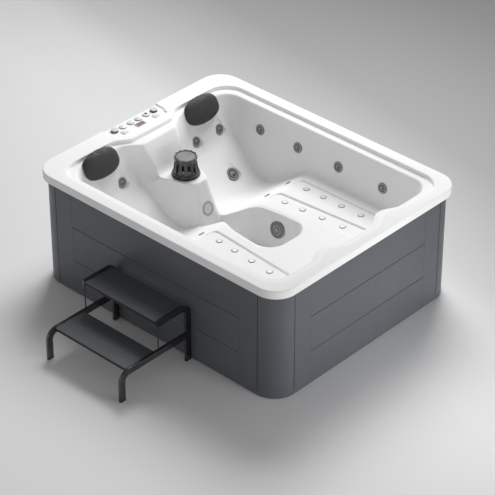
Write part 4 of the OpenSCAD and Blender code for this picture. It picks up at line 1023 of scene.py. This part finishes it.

# near-black for the rings of painted shade at the feet of the knobs and buttons, and for the
# cabinet's seam strips
shade_and_seam = moulded("shade_and_seam_black", (0.02, 0.02, 0.021), 0.5)
shade_rings = [turned("ring", KNOB_SHADE_RING, (x, y, DECK_TOP)) for x, y in KNOBS]
shade_rings += [turned("ring", BUTTON_SHADE_RING, (x, y, DECK_TOP)) for x, y in BUTTONS]
finish(join(shade_rings), "control_shade_rings", shade_and_seam, "tub", "control_grey")

# digits: size, distance apart, and the thin layer they take up on the window
DIGITS, DIGITS_X, DIGITS_APART = "385", -0.942, 0.017
DIGIT_W, DIGIT_H, STROKE = 0.0100, 0.0180, 0.0026
DIGIT_LOW, DIGIT_TOP = DECK_TOP + 0.0043, DECK_TOP + 0.0048
SEGMENTS = {"3": "abcdg", "8": "abcdefg", "5": "acdfg"}


def segment(letter, x, y):
    """One bar of a seven-bar digit, read from inside the tub."""
    half_w, half_h, t = DIGIT_W / 2, DIGIT_H / 2, STROKE / 2
    flat = {"a": -half_h, "g": 0, "d": half_h}
    if letter in flat:
        u0, u1, v0, v1 = flat[letter] - t, flat[letter] + t, -half_w + STROKE, half_w - STROKE
    else:
        v = -half_w + t if letter in "ef" else half_w - t
        u = (-half_h, 0) if letter in "fb" else (0, half_h)
        u0, u1, v0, v1 = u[0] + t, u[1] - t, v - t, v + t
    return block("bar", (x + u0, y + v0, DIGIT_LOW), (x + u1, y + v1, DIGIT_TOP))


lit = moulded("digit_red", (0.36, 0.14, 0.125), 0.4)
glow = lit.node_tree.nodes["Principled BSDF"].inputs
glow["Emission Color"].default_value = (1, 0.12, 0.06, 1)
glow["Emission Strength"].default_value = 0.06
bars = [segment(letter, DIGITS_X, (i - 1) * DIGITS_APART)
        for i, digit in enumerate(DIGITS) for letter in SEGMENTS[digit]]
bars.append(block("bar", (DIGITS_X + 0.008, 0.0072, DIGIT_LOW),
                  (DIGITS_X + 0.0106, 0.0098, DIGIT_TOP)))
finish(join(bars), "display_digits", lit, "tub", "screen")


# Filter
# glossy black skimmer body with tall slots and a lobed crown, a grey disc in
# the crown, and a pleated cartridge in the canister below

dress(moulded("filter_black", (0.010, 0.010, 0.011), 0.16, edge=0.003, coat=0.6),
      "filter_housing", "filter_basket")
dress(moulded("filter_grey", (0.13, 0.135, 0.14), 0.45, spread=0.35), "filter_lid")
dress(moulded("filter_cloth", (0.7, 0.7, 0.68), 0.9), "filter_cartridge")


# Jets
# grey faces that turn to close the flow, each with painted shade as a dark ring in its
# groove, a dark lining in its nozzle and a dark ring in the gap behind it, in white bodies clamped
# through the shell

jet_grey = moulded("jet_grey", (0.27, 0.274, 0.28), 0.26, edge=0.0015, coat=0.2)
# near-black painted as the shade in the gap behind each face, in its groove and down its nozzle
seal_black = moulded("seal_black", (0.045, 0.045, 0.047), 0.4)
dress(jet_grey, *[n for n in nodes if n.startswith("jet_") and n not in ("jet_bodies", "jet_pump")])

# diameter of each jet's face, its place on the skin, its axis, and how deep the
# bottom of its pocket is
JET_D, LOW_JET_D = 0.070, 0.095
JETS = {}
for way, side in (("near", -1), ("far", 1)):
    for i, x in enumerate(WALL_JETS_X):
        JETS["jet_%s_%d" % (way, i + 1)] = (
            JET_D, (x, side * WALL_JETS_Y, WALL_JETS_Z), wall_normal(side), 0)
    JETS["jet_low_%s" % way] = (LOW_JET_D, (LOW_X, side * LOW_Y, LOW_Z), LOW_N, POCKET_DEEP)
for i, (side, y) in enumerate((side, y) for side in (-1, 1) for y in BACK_JETS_Y):
    JETS["jet_back_%d" % (i + 1)] = (
        JET_D, (BACK_X, side * y, BACK_Z + 0.001), BACK_N, POCKET_DEEP)

# outlines of the painted shade as (share of the face's diameter, added width, height)
SHADE_GAP = ((0.36, 0, 0.0004), (0.5, 0.0022, 0.0004), (0.5, 0.0022, 0.0012),
        (0.5, 0.0016, 0.0020), (0.36, 0, 0.0020))
GROOVE_SHADE = ((0.235, 0, 0.0054), (0.345, 0, 0.0054), (0.342, 0, 0.0064), (0.240, 0, 0.0064))
THROAT_SHADE = ((0.050, 0, 0.0020), (0.109, 0, 0.0020), (0.109, 0, 0.0084), (0.095, 0, 0.0094),
          (0.050, 0, 0.0070))
THROAT_OFF = 0.13


def sized(profile, d):
    return [(share * d + added, height) for share, added, height in profile]


for name, (d, at, normal, sunk) in JETS.items():
    seat = Vector(at) - Vector(normal).normalized() * sunk
    across = Vector((normal[2], 0, -normal[0])).normalized() * THROAT_OFF * d
    trim = [turned("seal", sized(SHADE_GAP, d), seat, normal),
            turned("shade_in_groove", sized(GROOVE_SHADE, d), seat, normal),
            turned("shade_in_throat", sized(THROAT_SHADE, d), seat + across, normal)]
    finish(join(trim), "trim_" + name, seal_black, name, "jet_grey")


# Suctions, air injectors, drain slots and light
# domed anti-trap covers in grey, white mushroom caps in the leg channels with dark
# rings of painted shade under them, slots at the front of the seats on plates
# painted dark as the slits' shade, and a pale lens in a grey ring on the console's nose

COVER_BANDS = ((0.001, 0.45), (0.010, 0.5), (0.0125, 1.0), (0.019, 1.0), (0.0215, 0.45),
               (0.026, 0.45), (0.0285, 1.0), (0.037, 0.9), (0.040, 0.3), (0.045, 0.3),
               (0.048, 0.9), (0.060, 0.55))
INJECTOR_SHADE_RING = [(0.0150, 0.00005), (0.0222, 0.00005), (0.0222, 0.0009), (0.0150, 0.0009)]
dress(banded("suction_grey", (0.29, 0.295, 0.30), 0.32, (SUCTION_X, SUCTION_Y, SUCTION_Z),
             COVER_BANDS), "suction_covers")
dress(moulded("injector_white", (0.60, 0.60, 0.595), 0.3), "air_injectors")
# the slot plates are painted near-black as the shade of recessed slits
dress(moulded("slot_painted_shade", (0.03, 0.03, 0.03), 0.4), "drain_slots")
dress(moulded("light_grey", (0.42, 0.425, 0.43), 0.22), "light_body")
dress(moulded("lens_white", (0.66, 0.67, 0.67), 0.12), "light_lens")
# dark rings painted as the shade under each injector cap
shade_rings = [turned("ring", INJECTOR_SHADE_RING, (x, s * line(x), DECK_Z - CHANNEL_D))
               for s in (-1, 1) for line in (inner_line, outer_line) for x in INJECTORS_X]
finish(join(shade_rings), "injector_shade_rings", moulded("injector_shade_grey", (0.06, 0.06, 0.06), 0.5),
       "tub", "jet_grey")


# Pillows
# charcoal foam headrests with a moulded skin, plump and oval, keyed over the
# ledge and pushed onto two pins each

# the outline: how far up, down and to each side, and how square it is there
PILLOW_UP, PILLOW_DOWN, PILLOW_HALF = 0.108, 0.085, 0.154
UP_POWER, DOWN_POWER, SIDE_POWER = 0.72, 0.86, 0.88
PILLOW_TURNS = 96

# sections from the back to the crown: share of the outline, and height
PILLOW_RINGS = ((0, -0.024), (0.45, -0.0245), (0.80, -0.023), (0.92, -0.017), (0.975, -0.006),
                (0.985, 0.006), (0.965, 0.016), (0.915, 0.0255), (0.83, 0.0330), (0.71, 0.0385),
                (0.55, 0.0420), (0.36, 0.0440), (0.17, 0.0450), (0, 0.0452))

# the seat behind a pillow: the backrest's slope up to the ledge, the riser's foot
# above it, and where and how far both turn inwards at the corner
SEAT_AT, SEAT_SLOPE, SEAT_TOP = (-0.7663, 0.600), 0.093 / 0.192, 0.7962
RISER_AT = -0.9035
TURN_Y, TURN_BY = 0.090, math.tan(math.radians(12))


def pillow_outline(t):
    """Plump oval, fuller at the top than at the bottom."""
    c, s = math.cos(t), math.sin(t)
    reach, power = (PILLOW_DOWN, DOWN_POWER) if c > 0 else (PILLOW_UP, UP_POWER)
    return (math.copysign(abs(c) ** power, c) * reach,
            math.copysign(abs(s) ** SIDE_POWER, s) * PILLOW_HALF)


def off_the_seat(point):
    """Keep a point of the far pillow clear of the ledge, the riser and the back."""
    place = (Vector((PILLOW_X, 0, PILLOW_Z)) + point.x * Vector(BACK_D)
             + point.z * Vector(BACK_N))
    inward = max(0, point.y - TURN_Y) * TURN_BY
    if place.z < SEAT_TOP:
        least = SEAT_AT[0] - (place.z - SEAT_AT[1]) * SEAT_SLOPE + inward
    else:
        least = RISER_AT + inward
    short = least - place.x
    return point + Vector((0, 0, short / BACK_N[0])) if short > 0 else point


def puffed(obj, voxel, pressure, cap, steps=20):
    """Skin blown up as filled cloth, with each point held near where it began."""
    obj.data.remesh_voxel_size = voxel
    only(obj)
    bpy.ops.object.voxel_remesh()
    start = [v.co.copy() for v in obj.data.vertices]
    cloth = obj.modifiers.new("cloth", "CLOTH")
    cloth.settings.use_pressure = True
    cloth.settings.uniform_pressure_force = pressure
    cloth.settings.effector_weights.gravity = 0
    for step in range(1, steps + 1):
        scene.frame_set(step)
    swollen = obj.evaluated_get(bpy.context.evaluated_depsgraph_get()).data
    moved = [v.co.copy() for v in swollen.vertices]
    obj.modifiers.remove(cloth)
    scene.frame_set(1)
    for vertex, a, b in zip(obj.data.vertices, start, moved):
        shift = b - a
        vertex.co = a + shift * min(1, cap / max(shift.length, 1e-9))


def pillow_skin(name, colour):
    """Moulded foam skin: fine pebble, slow clouding and a soft sheen."""
    made, tree, shader = new_material(name)
    where = object_coords(tree)
    cloud = between(tree, noise(tree, where, 6, 4), 0, 1)
    tree.links.new(tinted(tree, cloud, shaded(colour, 0.88), shaded(colour, 1.12)),
                   shader.inputs["Base Color"])
    tree.links.new(between(tree, noise(tree, where, 18, 4), 0.62, 0.74), shader.inputs["Roughness"])
    pebble = node(tree, "ShaderNodeTexVoronoi", {"Vector": where, "Scale": 620},
                  feature="SMOOTH_F1")
    fine = node(tree, "ShaderNodeBump", {"Height": pebble.outputs["Distance"], "Distance": 0.00018,
                                         "Strength": 0.7})
    dent = node(tree, "ShaderNodeBump", {"Height": noise(tree, where, 11, 3), "Distance": 0.0012,
                                         "Strength": 0.6, "Normal": fine.outputs[0]})
    tree.links.new(dent.outputs[0], shader.inputs["Normal"])
    shader.inputs["Sheen Weight"].default_value = 0.06
    shader.inputs["Sheen Roughness"].default_value = 0.4
    return made


n_t = PILLOW_TURNS
skin_points = []
for ratio, height in PILLOW_RINGS[1:-1]:
    for k in range(n_t):
        u, v = pillow_outline(2 * math.pi * k / n_t)
        skin_points.append(Vector((u * ratio, v * ratio, height)))
last = (len(PILLOW_RINGS) - 3) * n_t
skin = [(r + k, r + (k + 1) % n_t, r + n_t + (k + 1) % n_t, r + n_t + k)
        for r in range(0, last, n_t) for k in range(n_t)]
back, crown = len(skin_points), len(skin_points) + 1
skin_points += [Vector((0, 0, PILLOW_RINGS[0][1])), Vector((0, 0, PILLOW_RINGS[-1][1]))]
skin += [((k + 1) % n_t, k, back) for k in range(n_t)]
skin += [(last + k, last + (k + 1) % n_t, crown) for k in range(n_t)]
pillow = new_piece("headrest_far_pad", skin_points, skin)
edit(pillow, bpy.ops.mesh.normals_make_consistent, inside=False)
puffed(pillow, voxel=0.005, pressure=4, cap=0.005)
apply_modifier(pillow, "SUBSURF", levels=1)
apply_modifier(pillow, "SMOOTH", factor=0.5, iterations=4)
for vertex in pillow.data.vertices:
    vertex.co = off_the_seat(vertex.co)
near_pillow = pillow.copy()
near_pillow.data = pillow.data.copy()
scene.collection.objects.link(near_pillow)
tilt = Matrix((Vector(BACK_D), Vector((0, 1, 0)), Vector(BACK_N))).transposed().to_4x4()
pillow.data.transform(Matrix.Translation((PILLOW_X, PILLOW_Y, PILLOW_Z)) @ tilt)
near_pillow.data.transform(Matrix.Translation((PILLOW_X, -PILLOW_Y, PILLOW_Z))
                           @ tilt @ Matrix.Diagonal((1, -1, 1, 1)))
near_pillow.data.flip_normals()
charcoal = pillow_skin("pillow_charcoal", (0.026, 0.0265, 0.027))
finish(pillow, "headrest_far_pad", charcoal, "headrest_far", "pillow", "pillow_far", smooth=80)
finish(near_pillow, "headrest_near_pad", charcoal, "headrest_near", "pillow", "pillow_near",
       smooth=80)
dress(knob_plastic, "pillow_pins_near", "pillow_pins_far")


# Steps
# flat tube bent and coated black, slate treads with a thin dark nosing along
# the front, rubber feet

dress(moulded("step_black", (0.011, 0.011, 0.012), 0.16, edge=0.004, coat=0.9), "steps_frame")
dress(slate_board("tread_slate", shaded(SLATE, 0.80), 0.50), "steps_treads")
rubber = moulded("foot_rubber", (0.015, 0.015, 0.015), 0.7)
dress(rubber, "steps_feet")

# the treads: middle, half width, and each one's front edge and height
TREAD_X, TREAD_HALF = -0.006, 0.3075
TREADS = ((-1.388, 0.212), (-1.130, 0.424))
nosings = [block("nosing", (TREAD_X - TREAD_HALF, front - 0.003, top - 0.0155),
                 (TREAD_X + TREAD_HALF, front + 0.001, top - 0.0005), 0.001)
           for front, top in TREADS]
finish(join(nosings), "tread_nosings", rubber, "steps", "foot_rubber")


# Cabinet seams
# black rubber strips that fill the joints between the boards and the corner
# covers, pressed in almost flush with the boards' faces

SEAM_HALF, SEAM_DEEP, SEAM_PROUD, SEAM_EDGE = 0.0029, 0.006, 0.0006, 0.0004
SEAM_FOOT, SEAM_TOP = 0.030, 0.762
LONG_SEAM, END_SEAM = (0.871, 0.839), (1.029, 0.681)


def seam_depth(face, side):
    """Inner and outer limit of a strip behind a face on this side, in order."""
    return sorted((side * face - side * SEAM_DEEP, side * face + side * SEAM_PROUD))


seal_strips = []
for sx in (-1, 1):
    for sy in (-1, 1):
        x, (y0, y1) = sx * LONG_SEAM[0], seam_depth(LONG_SEAM[1], sy)
        seal_strips.append(block("strip", (x - SEAM_HALF, y0, SEAM_FOOT),
                                 (x + SEAM_HALF, y1, SEAM_TOP), SEAM_EDGE))
        y, (x0, x1) = sy * END_SEAM[1], seam_depth(END_SEAM[0], sx)
        seal_strips.append(block("strip", (x0, y - SEAM_HALF, SEAM_FOOT),
                                 (x1, y + SEAM_HALF, SEAM_TOP), SEAM_EDGE))
finish(join(seal_strips), "cabinet_gaskets", shade_and_seam, "tub", "cladding")
